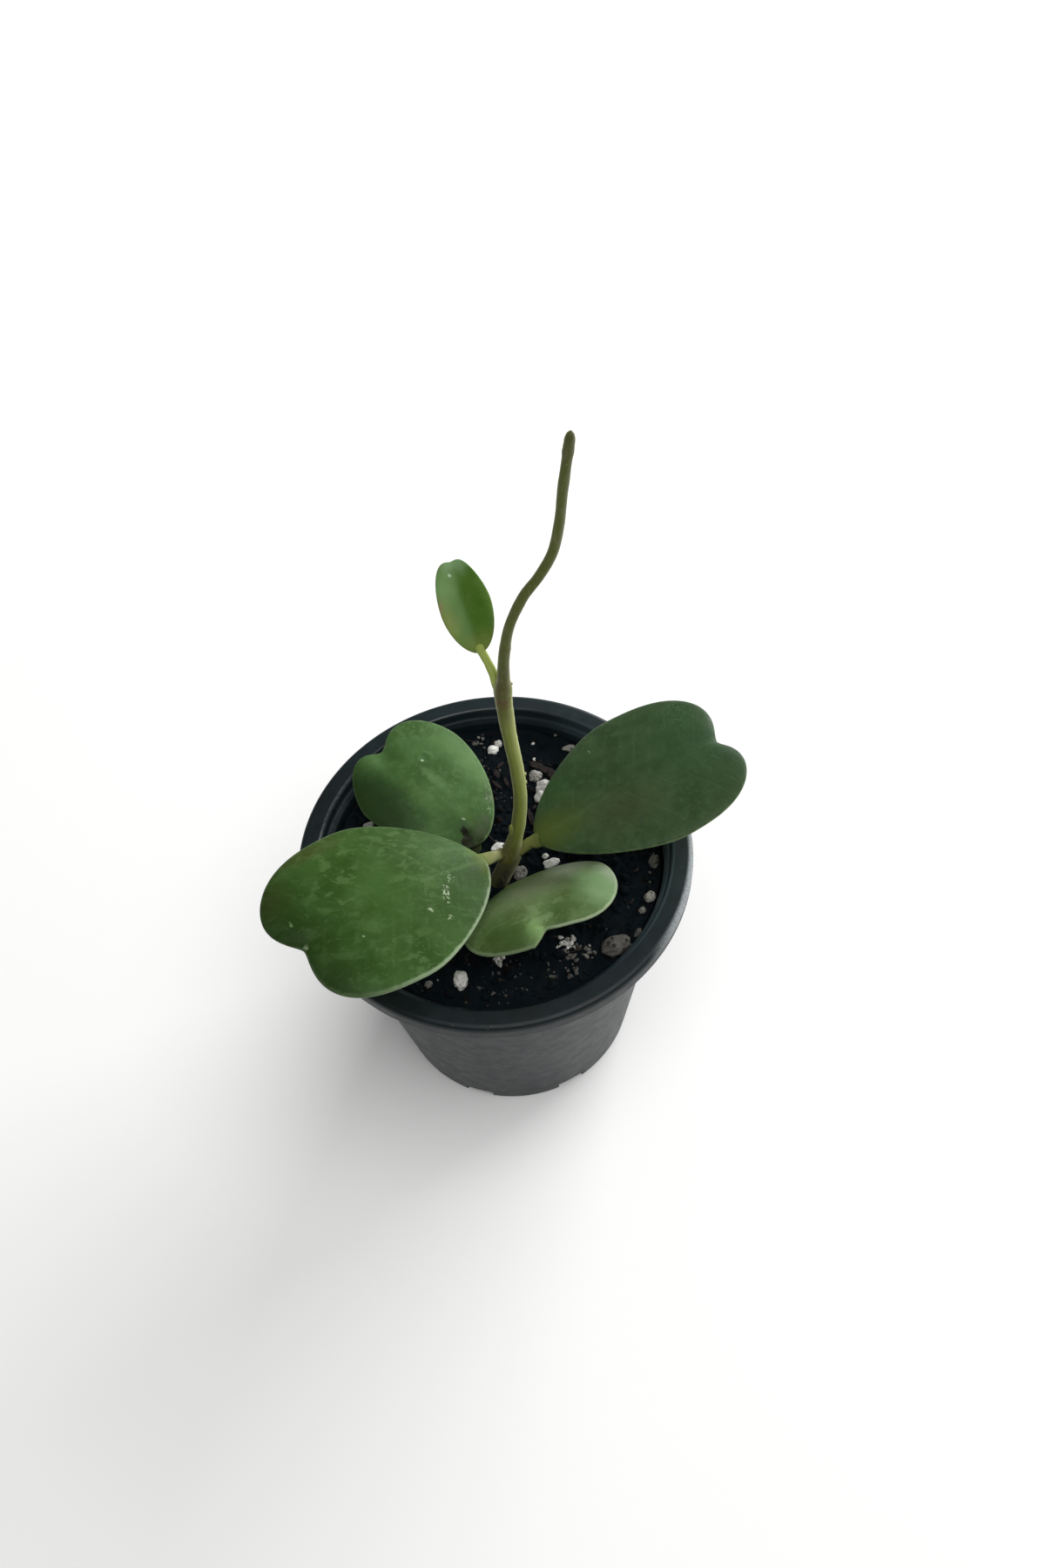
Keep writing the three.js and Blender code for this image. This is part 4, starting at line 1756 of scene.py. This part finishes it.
@dataclass
class Leaf:
    """One thick leaf: a blade in its notched outline, and the petiole that carries it.

    The petiole has the points that it passes on the way, and the joint has those inside the blade, in
    the blade's own measure. Petiole sizes are rows of the length past the joint's start, half width
    and half height. The crease over the midrib starts over a stretch of millimetres and ends over one
    of shares of the length. The keel below it stands out in full on a blade of keel_thickness.
    """

    node: str
    piece: str
    slot: Slot
    finish: LeafSkin
    outline: Outline
    hang: Hang
    thickness: float
    petiole: tuple[Point, ...]
    petiole_sizes: tuple[Point, ...]
    heel: float = 0.0
    root_fade: Pair = (1.5, 5.0)
    blade_fade: Pair = (-2.0, 2.5)
    joint: tuple[Point, ...] = ((0.0, 0.0, 0.0), (2.5, 0.0, 0.0), (5.0, 0.0, 0.0))
    valleys: tuple[Valley, ...] = ()
    dimples: tuple[Dimple, ...] = ()
    hollow: float = 0.0
    crease: float = 0.2
    crease_width: float = 1.1
    crease_start: Pair = (0.5, 5.0)
    crease_end: Pair = (0.62, 0.9)
    keel: float = 0.45
    keel_thickness: float = 3.4
    waviness: float = 0.3
    wave_length: float = 15.0
    ripples: float = 0.06
    ripple_length: float = 5.5
    shrink: float = 0.996
    rounding: float = 0.6
    neck_swell: float = 0.3
    neck_length: float = 7.0
    neck_width: float = 3.2
    divisions: int = 56
    petiole_rings: int = 52
    petiole_sides: int = 20

    def place(self, x: float, y: float, height: float) -> Vector:
        """Puts a point of the flat blade where the hanging blade has it.

        Args:
            x: Millimetres along the midrib from the base.
            y: Millimetres across it.
            height: Millimetres over the blade's middle surface.

        Returns:
            The point, in millimetres.
        """
        o, h = self.outline, self.hang
        half = (o.left_width + o.right_width) / 2
        lift = height - h.cup * y * y / half - sum(valley.sink(x, y) for valley in self.valleys)
        if self.hollow:
            reach = o.base_reach if x < o.base_reach else o.tip_reach
            room = half * math.sqrt(max(0.0, 1 - ((x - o.base_reach) / reach) ** 2))
            lift -= self.hollow * max(0.0, room - math.hypot(y, 0.4))
        bend = math.radians(h.droop) / o.length
        sine, cosine = math.sin(bend * x), math.cos(bend * x)
        point = Vector((sine / bend + lift * sine, y, (cosine - 1) / bend + lift * cosine))
        turn, rise, roll = (math.radians(angle) for angle in (h.turn, -h.rise, h.roll))
        return turned(turn, "Z") @ turned(rise, "Y") @ turned(roll, "X") @ point + Vector(h.base)

    def relief(self, x: float, y: float, share: float, upper: bool) -> float:
        """Gives the fine form of a face over its smooth crown.

        Args:
            x: Millimetres along the midrib from the base.
            y: Millimetres across it.
            share: How far out from the middle to the edge.
            upper: Whether it is the upper face.

        Returns:
            Millimetres outward.
        """
        length = self.outline.length
        end = [part * length for part in self.crease_end]
        fade = smooth(x, *self.crease_start) * (1 - smooth(x, *end))
        crease = bell(y, self.crease_width) * fade
        seed = self.hang.turn
        wave = noise.noise(Vector((x / self.wave_length, y / self.wave_length, seed)))
        ripple = noise.noise(Vector((x / self.ripple_length, y / self.ripple_length, seed + 3)))
        relief = self.waviness * wave + self.ripples * ripple
        if upper:
            relief += sum(dimple.rise(x, y) for dimple in self.dimples) - self.crease * crease
        else:
            relief = 0.3 * relief + self.keel * crease * self.thickness / self.keel_thickness
        return relief * (1 - share**10)

    def draw_blade(self, bm: BMesh, layers: Layers) -> None:
        """Draws the blade as a rounded body pressed into its outline.

        Args:
            bm: Where it is drawn.
            layers: The numbers that its vertices carry.
        """
        bmesh.ops.create_cube(bm, size=2.0)
        bmesh.ops.subdivide_edges(bm, edges=bm.edges[:], cuts=self.divisions, use_grid_fill=True)
        o = self.outline
        for vert in bm.verts:
            ball = Vector([math.tan(c * math.pi / 4) for c in vert.co]).normalized()
            angle = math.atan2(ball.y, ball.x)
            share = min(1.0, math.hypot(ball.x, ball.y))
            reach = o.reach(angle) * share
            x = o.base_reach - self.heel + reach * math.cos(angle) * self.shrink
            y = reach * math.sin(angle) * self.shrink
            crown = 0.5 * self.thickness * math.copysign(abs(ball.z) ** self.rounding, ball.z)
            swell = 1 + self.neck_swell * bell(x, self.neck_length) * bell(y, self.neck_width)
            upper = ball.z > 0
            relief = self.relief(x, y, share, upper) * min(1.0, abs(ball.z) * 3)
            vert.co = self.place(x, y, crown * swell + (relief if upper else -relief))
            note(vert, layers, blade_x=x, blade_y=y, along=x / o.length, rim=share, upper=ball.z)

    def draw_petiole(self, bm: BMesh, layers: Layers) -> None:
        """Draws the petiole from inside the stem to inside the blade.

        Args:
            bm: Where it is drawn.
            layers: The numbers that its vertices carry.
        """
        inner = [tuple(self.place(*point)) for point in self.joint]
        places = spline([*self.petiole, *inner], self.petiole_rings)
        lengths = run_lengths(places)
        base = lengths[-1] - math.dist(inner[0], inner[-1])
        stations = []
        for centre, length in zip(places, lengths):
            past = length - base
            wide = along_table([row[:2] for row in self.petiole_sizes], past)
            high = along_table([row[::2] for row in self.petiole_sizes], past)
            stations.append(Station(centre, wide, high, past))
        across = self.place(4, 1, 0) - self.place(4, 0, 0)
        for ring in sweep(bm, stations, self.petiole_sides, across):
            petiole = 1 - smooth(ring.share, *self.blade_fade)
            root = 1 - smooth(ring.share - stations[0].share, *self.root_fade)
            for vert in ring.verts:
                away = (vert.co - ring.centre).normalized()
                vert.co += away * 0.06 * noise.noise(vert.co / 1.6)
                sideways = away.dot(ring.side) * 2
                note(vert, layers, blade_x=ring.share, blade_y=sideways, upper=1.0)
                note(vert, layers, petiole=petiole, root=root)

    def build(self) -> None:
        """Draws the leaf and dresses it."""
        bm = bmesh.new()
        layers = new_layers(bm, ("blade_x", "blade_y", "along", "rim", "upper", "petiole", "root"))
        self.draw_blade(bm, layers)
        self.draw_petiole(bm, layers)
        finish_piece(bm, self.piece, self.finish.build(), [self.node])


def left_leaf() -> Leaf:
    """Sets out the large leaf on the left, which the lower node carries."""
    return Leaf(
        node="leaf_left", piece="large_leaf_left", slot=Slot.UPPER,
        finish=LeafSkin(
            name="left leaf skin", deep="2d4917", mid="395826", fleck="5f7f4a", foot="6c7a38",
            margin_and_glint="a0b392", foot_length=7.0, drawn_towards=151.0, drawn_out=1.7, flecks=0.55,
            midrib=0.3, gloss=0.44, shine=0.11, petiole="8e9262", root="4f4f29", edge_left=0.7,
            edge_right=0.12, edge_from=0.962, edge_fades=(0.45, 0.85),
            patches=(
                # Painted light and shade: the lighter patch at 10 mm is a painted sheen near the base, the
                # darker one at 13 mm painted shade beside it, and the dark patches at 62 and 53 mm painted
                # shade towards the drooping tip. The small pale patches are scuffs and spots.
                Patch(10.0, -7.0, 14.0, 6.0, "456639", 0.35),
                Patch(13.0, 9.0, 17.0, 12.0, "2f4a1c", 0.35),
                Patch(28.0, 0.0, 14.0, 14.0, "446a2e", 0.3),
                Patch(62.0, 0.0, 26.0, 36.0, "182a0a", 0.85),
                Patch(53.0, 14.0, 17.0, 13.0, "1b300c", 0.45),
                Patch(56.0, -16.0, 10.0, 10.0, "2b2f10", 0.5),
                Patch(41.0, -23.0, 17.0, 5.0, "46421f", 0.4),
                Patch(15.0, 2.2, 0.8, 1.5, "c3d0b4", 0.7, broken=True),
                Patch(16.6, 4.4, 0.9, 1.2, "c3d0b4", 0.6, broken=True),
                Patch(17.6, 6.0, 1.1, 1.4, "c3d0b4", 0.75, broken=True, soft=0.5),
                Patch(18.6, 7.8, 1.2, 1.2, "b9c8a8", 0.75, broken=True, soft=0.4),
                Patch(53.8, -5.5, 0.8, 1.0, "8ea878", 0.5),
                Patch(54.0, 1.2, 0.7, 0.9, "a9ba8e", 0.5),
                Patch(24.0, 8.5, 0.8, 0.9, "c3d0b4", 0.75),
                Patch(20.6, 12.6, 1.4, 1.4, "a9bb94", 0.7, broken=True, soft=0.3),
                Patch(41.6, 7.2, 0.6, 0.8, "9fb38a", 0.6),
                Patch(14.0, 1.5, 2.0, 3.0, "9fb38a", 0.45, broken=True),
            ),
        ),
        outline=Outline(
            base_reach=32.4, tip_reach=28.1, left_width=23.3, right_width=26.0, lobe_difference=0.4,
            base_fullness=1.58, tip_fullness=2.52, notch_depth=0.244, notch_width=0.552,
            notch_skew=0.46, notch_sharpness=1.7, notch_angle=0.079,
        ),
        heel=-1.0, root_fade=(4.8, 8.0),
        hang=Hang(base=(-1.2, -10.8, 97.0), turn=209.3, rise=25.9, roll=-0.3, droop=28.6, cup=0.05),
        thickness=3.4,
        petiole=((5.4, -5.6, 92.2), (3.3, -6.6, 93.6), (1.4, -7.9, 95.1), (0.0, -9.1, 96.5)),
        petiole_sizes=(
            (-10, 1.5, 1.4), (-6, 1.65, 1.5), (-3, 1.5, 1.3), (0, 2.0, 0.95), (2, 2.4, 0.6),
            (5, 1.2, 0.3),
        ),
        joint=((0.3, -1.0, 0.0), (2.7, -0.9, 0.0), (5.0, -0.6, 0.0)),
        valleys=(Valley(54.0, 1.0, 40.0, 1.0, 4.0, 0.9),),
        dimples=(Dimple(33.0, -4.0, 9.0, 0.15), Dimple(24.0, 8.5, 1.1, -0.12)),
    )


def right_leaf() -> Leaf:
    """Sets out the large leaf on the right, across the lower node."""
    return Leaf(
        node="leaf_right", piece="large_leaf_right", slot=Slot.UPPER,
        finish=LeafSkin(
            name="right leaf skin", deep="2a4023", mid="354b29", fleck="54704a", foot="45521c",
            margin_and_glint="6f8759", flecks=0.22, midrib=0.18, edge_left=0.4, edge_right=0.45, edge_from=0.984,
            foot_length=20.0, petiole="767a45", root="66653c",
            patches=(
                Patch(52.0, 4.0, 24.0, 26.0, "2c4829", 0.7),
                Patch(22.0, -6.0, 18.0, 12.0, "3a432a", 0.6),
                Patch(10.0, 12.0, 10.0, 8.0, "2b4a1e", 0.5),
                Patch(23.8, 17.1, 0.5, 1.2, "8ea483", 0.5),
                Patch(50.0, 15.0, 10.0, 9.0, "4a6b40", 0.4, broken=True),
            ),
        ),
        outline=Outline(
            base_reach=34.8, tip_reach=25.8, left_width=25.7, right_width=21.7, lobe_difference=1.7,
            base_fullness=1.55, tip_fullness=2.53, notch_depth=0.196, notch_width=0.34,
            notch_skew=0.733, notch_sharpness=1.63, notch_angle=0.0,
        ),
        heel=1.4, root_fade=(2.0, 5.0), blade_fade=(-3.5, 1.5),
        hang=Hang(base=(12.5, -6.8, 99.0), turn=21.9, rise=11.3, roll=-7.9, droop=5.7, cup=0.05),
        thickness=3.4,
        petiole=((4.4, -6.7, 92.4), (7.0, -6.4, 94.1), (9.7, -6.3, 96.7)),
        petiole_sizes=(
            (-10, 1.55, 1.5), (-6, 1.5, 1.45), (-3, 1.65, 1.4), (-1, 2.2, 1.1), (1, 2.7, 0.8),
            (3, 2.3, 0.5), (5, 1.2, 0.3),
        ),
        valleys=(Valley(52.0, 0.0, 42.0, 0.0, 3.0, 0.6),),
        shrink=0.9925,
    )


def back_leaf() -> Leaf:
    """Sets out the matt leaf behind on the left."""
    return Leaf(
        node="leaf_back", piece="leaf_back_left", slot=Slot.LOWER,
        finish=LeafSkin(
            name="back leaf skin", deep="385629", mid="476937", fleck="6f8f5e", foot="303822",
            margin_and_glint="7f9a6c", petiole="3c452c", flecks=0.3, midrib=0.1, edge_left=0.1, edge_right=0.55,
            gloss=0.5, shine=0.1,
            patches=(
                # Painted light and shade: the lighter patch at 20 mm is painted light, the dark patch at 30
                # mm painted shade on the side away from the light, the near-black patches at the base a
                # painted shadow in its fold, and the pair at 28.7 mm painted shade and a painted highlight in
                # the dent. The whitish broken patches are scuffs.
                Patch(20.0, -14.5, 22.0, 6.5, "63854f", 0.65),
                Patch(22.0, 4.0, 9.0, 4.5, "56773f", 0.45),
                Patch(30.0, 16.0, 26.0, 15.0, "1b3010", 0.92, soft=0.3),
                Patch(28.7, -5.6, 1.7, 1.7, "44653a", 0.7),
                Patch(28.6, -5.2, 0.6, 0.5, "d4e0c8", 0.9),
                Patch(4.9, 2.6, 2.4, 1.3, "040503", 1.0, soft=0.7),
                Patch(2.2, 4.2, 3.2, 2.2, "040503", 1.0, soft=0.7),
                Patch(2.8, -0.8, 2.6, 2.4, "6a7460", 0.5),
                Patch(7.5, -1.6, 3.6, 2.2, "4c6a26", 0.6),
                Patch(-0.6, 0.4, 2.0, 4.5, "171b10", 0.9, soft=0.5),
                Patch(8.3, 0.4, 0.6, 0.6, "b4c3a4", 0.8),
                Patch(7.2, -10.4, 5.0, 2.4, "56654a", 0.55),
                Patch(3.4, -4.4, 3.4, 3.0, "56604a", 0.6),
                Patch(9.8, -12.2, 1.8, 1.3, "a6b397", 0.55, broken=True),
                Patch(7.8, -9.8, 1.8, 1.4, "a6b397", 0.6, broken=True),
                Patch(5.8, -7.4, 1.7, 1.3, "a6b397", 0.6, broken=True),
                Patch(2.2, -1.0, 3.0, 2.4, "7c8168", 0.5, broken=True),
                Patch(22.0, -3.0, 10.0, 2.0, "6f9060", 0.35),
            ),
        ),
        outline=Outline(
            base_reach=28.0, tip_reach=20.9, left_width=17.7, right_width=19.0, lobe_difference=-4.0,
            base_fullness=1.78, tip_fullness=1.72, notch_depth=0.414, notch_width=0.407,
            notch_skew=1.26, notch_sharpness=1.86, notch_angle=-0.025,
        ),
        hang=Hang(base=(-2.6, 3.5, 85.0), turn=134.2, rise=27.1, roll=-0.7, droop=28.6, cup=0.1),
        thickness=3.2,
        petiole=((0.5, -7.8, 74.0), (-2.6, -3.0, 75.6), (-4.9, 1.4, 79.8)),
        petiole_sizes=((-14, 1.9, 1.9), (-4, 1.6, 1.5), (0, 1.8, 1.3), (4, 1.2, 0.5)),
        joint=((3.5, 0.6, -1.4), (5.5, 0.6, -0.9), (7.5, 0.6, -0.4)),
        valleys=(Valley(39.0, 0.5, 25.0, 2.5, 3.2, 1.6),),
        crease=0.0,
        dimples=(
            Dimple(28.7, -5.6, 1.3, 0.35, 0.22),
            Dimple(8.3, 0.4, 0.8, -0.25),
            Dimple(4.6, 2.5, 1.3, 1.3),
            Dimple(2.4, 3.6, 1.4, 1.2),
        ),
    )


def front_leaf() -> Leaf:
    """Sets out the arched leaf in front."""
    return Leaf(
        node="leaf_front", piece="leaf_front_arched", slot=Slot.LOWER,
        finish=LeafSkin(
            name="front leaf skin", deep="4a6032", mid="5a7444", fleck="839b6c", foot="5a6b40",
            margin_and_glint="a9bb98", flecks=0.5, drawn_towards=90.0, drawn_out=2.2, midrib=0.08, edge_left=0.75,
            edge_right=0.25, edge_from=0.96, gloss=0.46,
            patches=(
                # Painted light and shade: the pale patches at 22.5, 9 and 19 mm are painted light on the
                # right lobe and its end, the one at 26.4 mm a painted highlight on the ridge of the fold, the
                # dark one at 24.4 mm painted shade in the fold, and the dark one at 25.5 mm painted shade on
                # the lower lobe.
                Patch(12.0, 4.0, 11.0, 20.0, "6a7458", 0.8),
                Patch(22.5, 18.0, 14.0, 10.0, "93b783", 0.8),
                Patch(9.0, 15.0, 10.0, 9.0, "9ba78e", 0.9),
                Patch(19.0, 21.5, 8.0, 4.0, "b3c3a6", 0.8),
                Patch(24.4, 3.6, 5.5, 3.2, "3f5628", 0.7),
                Patch(18.6, -6.4, 5.0, 6.5, "43522a", 0.5),
                Patch(26.4, -4.2, 5.5, 3.6, "88ab6c", 0.45),
                Patch(25.5, -13.0, 12.5, 9.0, "33491c", 0.8, soft=0.3),
            ),
        ),
        outline=Outline(
            base_reach=16.5, tip_reach=15.06, left_width=22.92, right_width=19.96, lobe_difference=2.55,
            base_fullness=1.78, tip_fullness=2.36, notch_depth=0.28, notch_width=0.6, notch_skew=0.45,
            notch_sharpness=2.3, notch_angle=-0.1, mucro_angle=-0.47, mucro_height=0.5,
        ),
        hang=Hang(base=(3.16, -12.27, 84.6), turn=-64.3, rise=55.4, roll=1.8, droop=55.7, cup=0.115),
        thickness=3.2,
        petiole=((0.7, -7.7, 75.6), (1.8, -10.2, 77.4), (2.9, -12.0, 81.2)),
        petiole_sizes=((-12, 1.9, 1.9), (-5, 1.6, 1.6), (-1, 1.9, 1.3), (1.5, 2.4, 0.9), (5, 1.4, 0.3)),
        valleys=(Valley(27.5, 1.0, 15.0, 6.0, 3.0, 0.9),),
        crease=0.0,
    )


def young_leaf() -> Leaf:
    """Sets out the small young leaf of the upper node."""
    return Leaf(
        node="leaf_small", piece="young_leaf", slot=Slot.YOUNG,
        finish=LeafSkin(
            name="young leaf skin", deep="3f5f1c", mid="4d6e26", fleck="6f8f48", foot="6c7c38",
            margin_and_glint="6a5d4c", petiole="a2b15b", root="6f7040", half_sheen="6d9350", half_sheen_share=0.5,
            flecks=0.15, midrib=0.0, edge_left=0.6, edge_right=0.15, foot_length=5.0, gloss=0.36,
            patches=(
                # Painted light: the pale patches at 15.5 and 20.8 mm are a painted sheen, and the one at 17.7
                # mm a painted highlight in a dimple.
                Patch(8.0, -2.6, 8.0, 2.2, "40681a", 0.5),
                Patch(15.5, 3.5, 7.0, 5.0, "7ba066", 0.55),
                Patch(7.0, 4.6, 9.0, 3.6, "838e4a", 0.7),
                Patch(11.5, 5.3, 2.8, 1.0, "9a7a62", 0.55),
                Patch(9.0, -5.5, 9.0, 1.9, "64863a", 0.65),
                Patch(20.8, -0.6, 5.2, 6.5, "86a97a", 0.8),
                Patch(17.7, 1.1, 0.5, 0.5, "c8dcc0", 0.8),
            ),
        ),
        outline=Outline(
            base_reach=10.6, tip_reach=13.1, left_width=5.7, right_width=6.1, lobe_difference=3.0,
            base_fullness=1.86, tip_fullness=1.82, notch_depth=0.119, notch_width=0.168,
            notch_skew=0.92, notch_sharpness=1.66, notch_angle=0.01,
        ),
        heel=1.1,
        hang=Hang(base=(3.4, 1.4, 164.3), turn=107.4, rise=34.3, roll=-20.5, droop=17.2, cup=-0.1),
        thickness=1.5,
        petiole=((7.2, -1.8, 149.8), (6.3, -0.5, 153.8), (5.6, 0.2, 157.0), (4.6, 0.8, 160.6)),
        petiole_sizes=(
            (-15, 1.5, 1.5), (-11, 1.3, 1.2), (-8, 1.05, 1.0), (-4, 0.95, 0.9), (-1, 0.98, 0.85),
            (0.3, 1.05, 0.9), (0.9, 0.6, 0.5),
        ),
        joint=((0.0, 0.0, 0.45), (0.45, 0.0, 0.45), (0.9, 0.0, 0.45)),
        hollow=0.13, crease=0.0, waviness=0.1, divisions=40,
    )


@dataclass
class Studio:
    """The pale floor, the soft light and the camera at the photograph's angle."""

    eye: Point = (9.532, -169.830, 345.550)
    right: Point = (0.99445, -0.08477, -0.06234)
    up: Point = (0.10522, 0.80115, 0.58915)
    forward: Point = (0.0, 0.59244, -0.80562)
    lens: float = 25.96
    floor_size: float = 6000.0
    sky: float = 0.2

    def build_floor(self) -> None:
        """Lays the floor."""
        bm = bmesh.new()
        bmesh.ops.create_grid(bm, x_segments=8, y_segments=8, size=self.floor_size * MM / 2)
        mesh = bpy.data.meshes.new("studio_floor")
        bm.to_mesh(mesh)
        bm.free()
        s = Shader("studio floor")
        tone = s.blend(s.band(s.cloud(1.5, 2), 0.3, 0.7), "f6f6f5", "fafaf9")
        mesh.materials.append(s.dress(Base_Color=tone, Roughness=0.9, Specular_IOR_Level=0.1))
        new_object("studio_floor", mesh)

    def add_sun(self, name: str, power: float, spread: float, aim: Point) -> None:
        """Hangs one soft, far light.

        Args:
            name: Its name.
            power: Its strength.
            spread: Its angle across in degrees.
            aim: Which way it shines.
        """
        light = bpy.data.lights.new(name, "SUN")
        light.energy = power
        light.angle = math.radians(spread)
        lamp = new_object(name, light)
        lamp.rotation_euler = Vector(aim).to_track_quat("-Z", "Y").to_euler()

    def add_window(self, name: str, power: float, place: Point, size: Pair) -> None:
        """Hangs one soft panel of light that looks at the plant.

        Args:
            name: Its name.
            power: Its strength.
            place: Where it hangs, in metres.
            size: Its width and height in metres.
        """
        light = bpy.data.lights.new(name, "AREA")
        light.shape = "RECTANGLE"
        light.size, light.size_y = size
        light.energy = power
        lamp = new_object(name, light)
        lamp.location = place
        aim = Vector((0.0, 0.0, 0.1)) - Vector(place)
        lamp.rotation_euler = aim.to_track_quat("-Z", "Y").to_euler()
        lamp.visible_camera = False

    def add_sky(self) -> None:
        """Fills the room with a little even white light."""
        world = bpy.data.worlds.new("studio_air")
        world.use_nodes = True
        air = world.node_tree.nodes["Background"].inputs
        air["Color"].default_value = (1.0, 1.0, 1.0, 1.0)
        air["Strength"].default_value = self.sky
        bpy.context.scene.world = world

    def add_camera(self) -> None:
        """Sets up the camera where the photograph was taken from."""
        data = bpy.data.cameras.new("camera")
        data.lens = self.lens
        data.sensor_width = 36.0
        data.sensor_fit = "AUTO"
        data.clip_start = 0.01
        data.clip_end = 20.0
        camera = new_object("camera", data)
        backward = [-value for value in self.forward]
        camera.matrix_world = matrix_of(self.right, self.up, backward, [value * MM for value in self.eye])
        bpy.context.scene.camera = camera

    def build(self) -> None:
        """Sets up the floor, light, sky and camera."""
        self.build_floor()
        self.add_sun("ceiling_light", 1.8, 50, (-0.2, 0.25, -0.95))
        self.add_window("window_light", 20.0, (0.87, 0.93, 0.55), (1.12, 0.75))
        self.add_sky()
        self.add_camera()
        bpy.context.scene.view_settings.view_transform = "Standard"


def main() -> None:
    """Builds the studio, the pot, the soil, the stem and the leaves."""
    logging.basicConfig(level=logging.INFO, format="%(name)s %(relativeCreated)d ms: %(message)s")
    Studio().build()
    NurseryPot().build()
    PottingMix().build()
    Stem().build()
    for leaf in (left_leaf(), right_leaf(), back_leaf(), front_leaf(), young_leaf()):
        leaf.build()


if __name__ == "__main__":
    main()
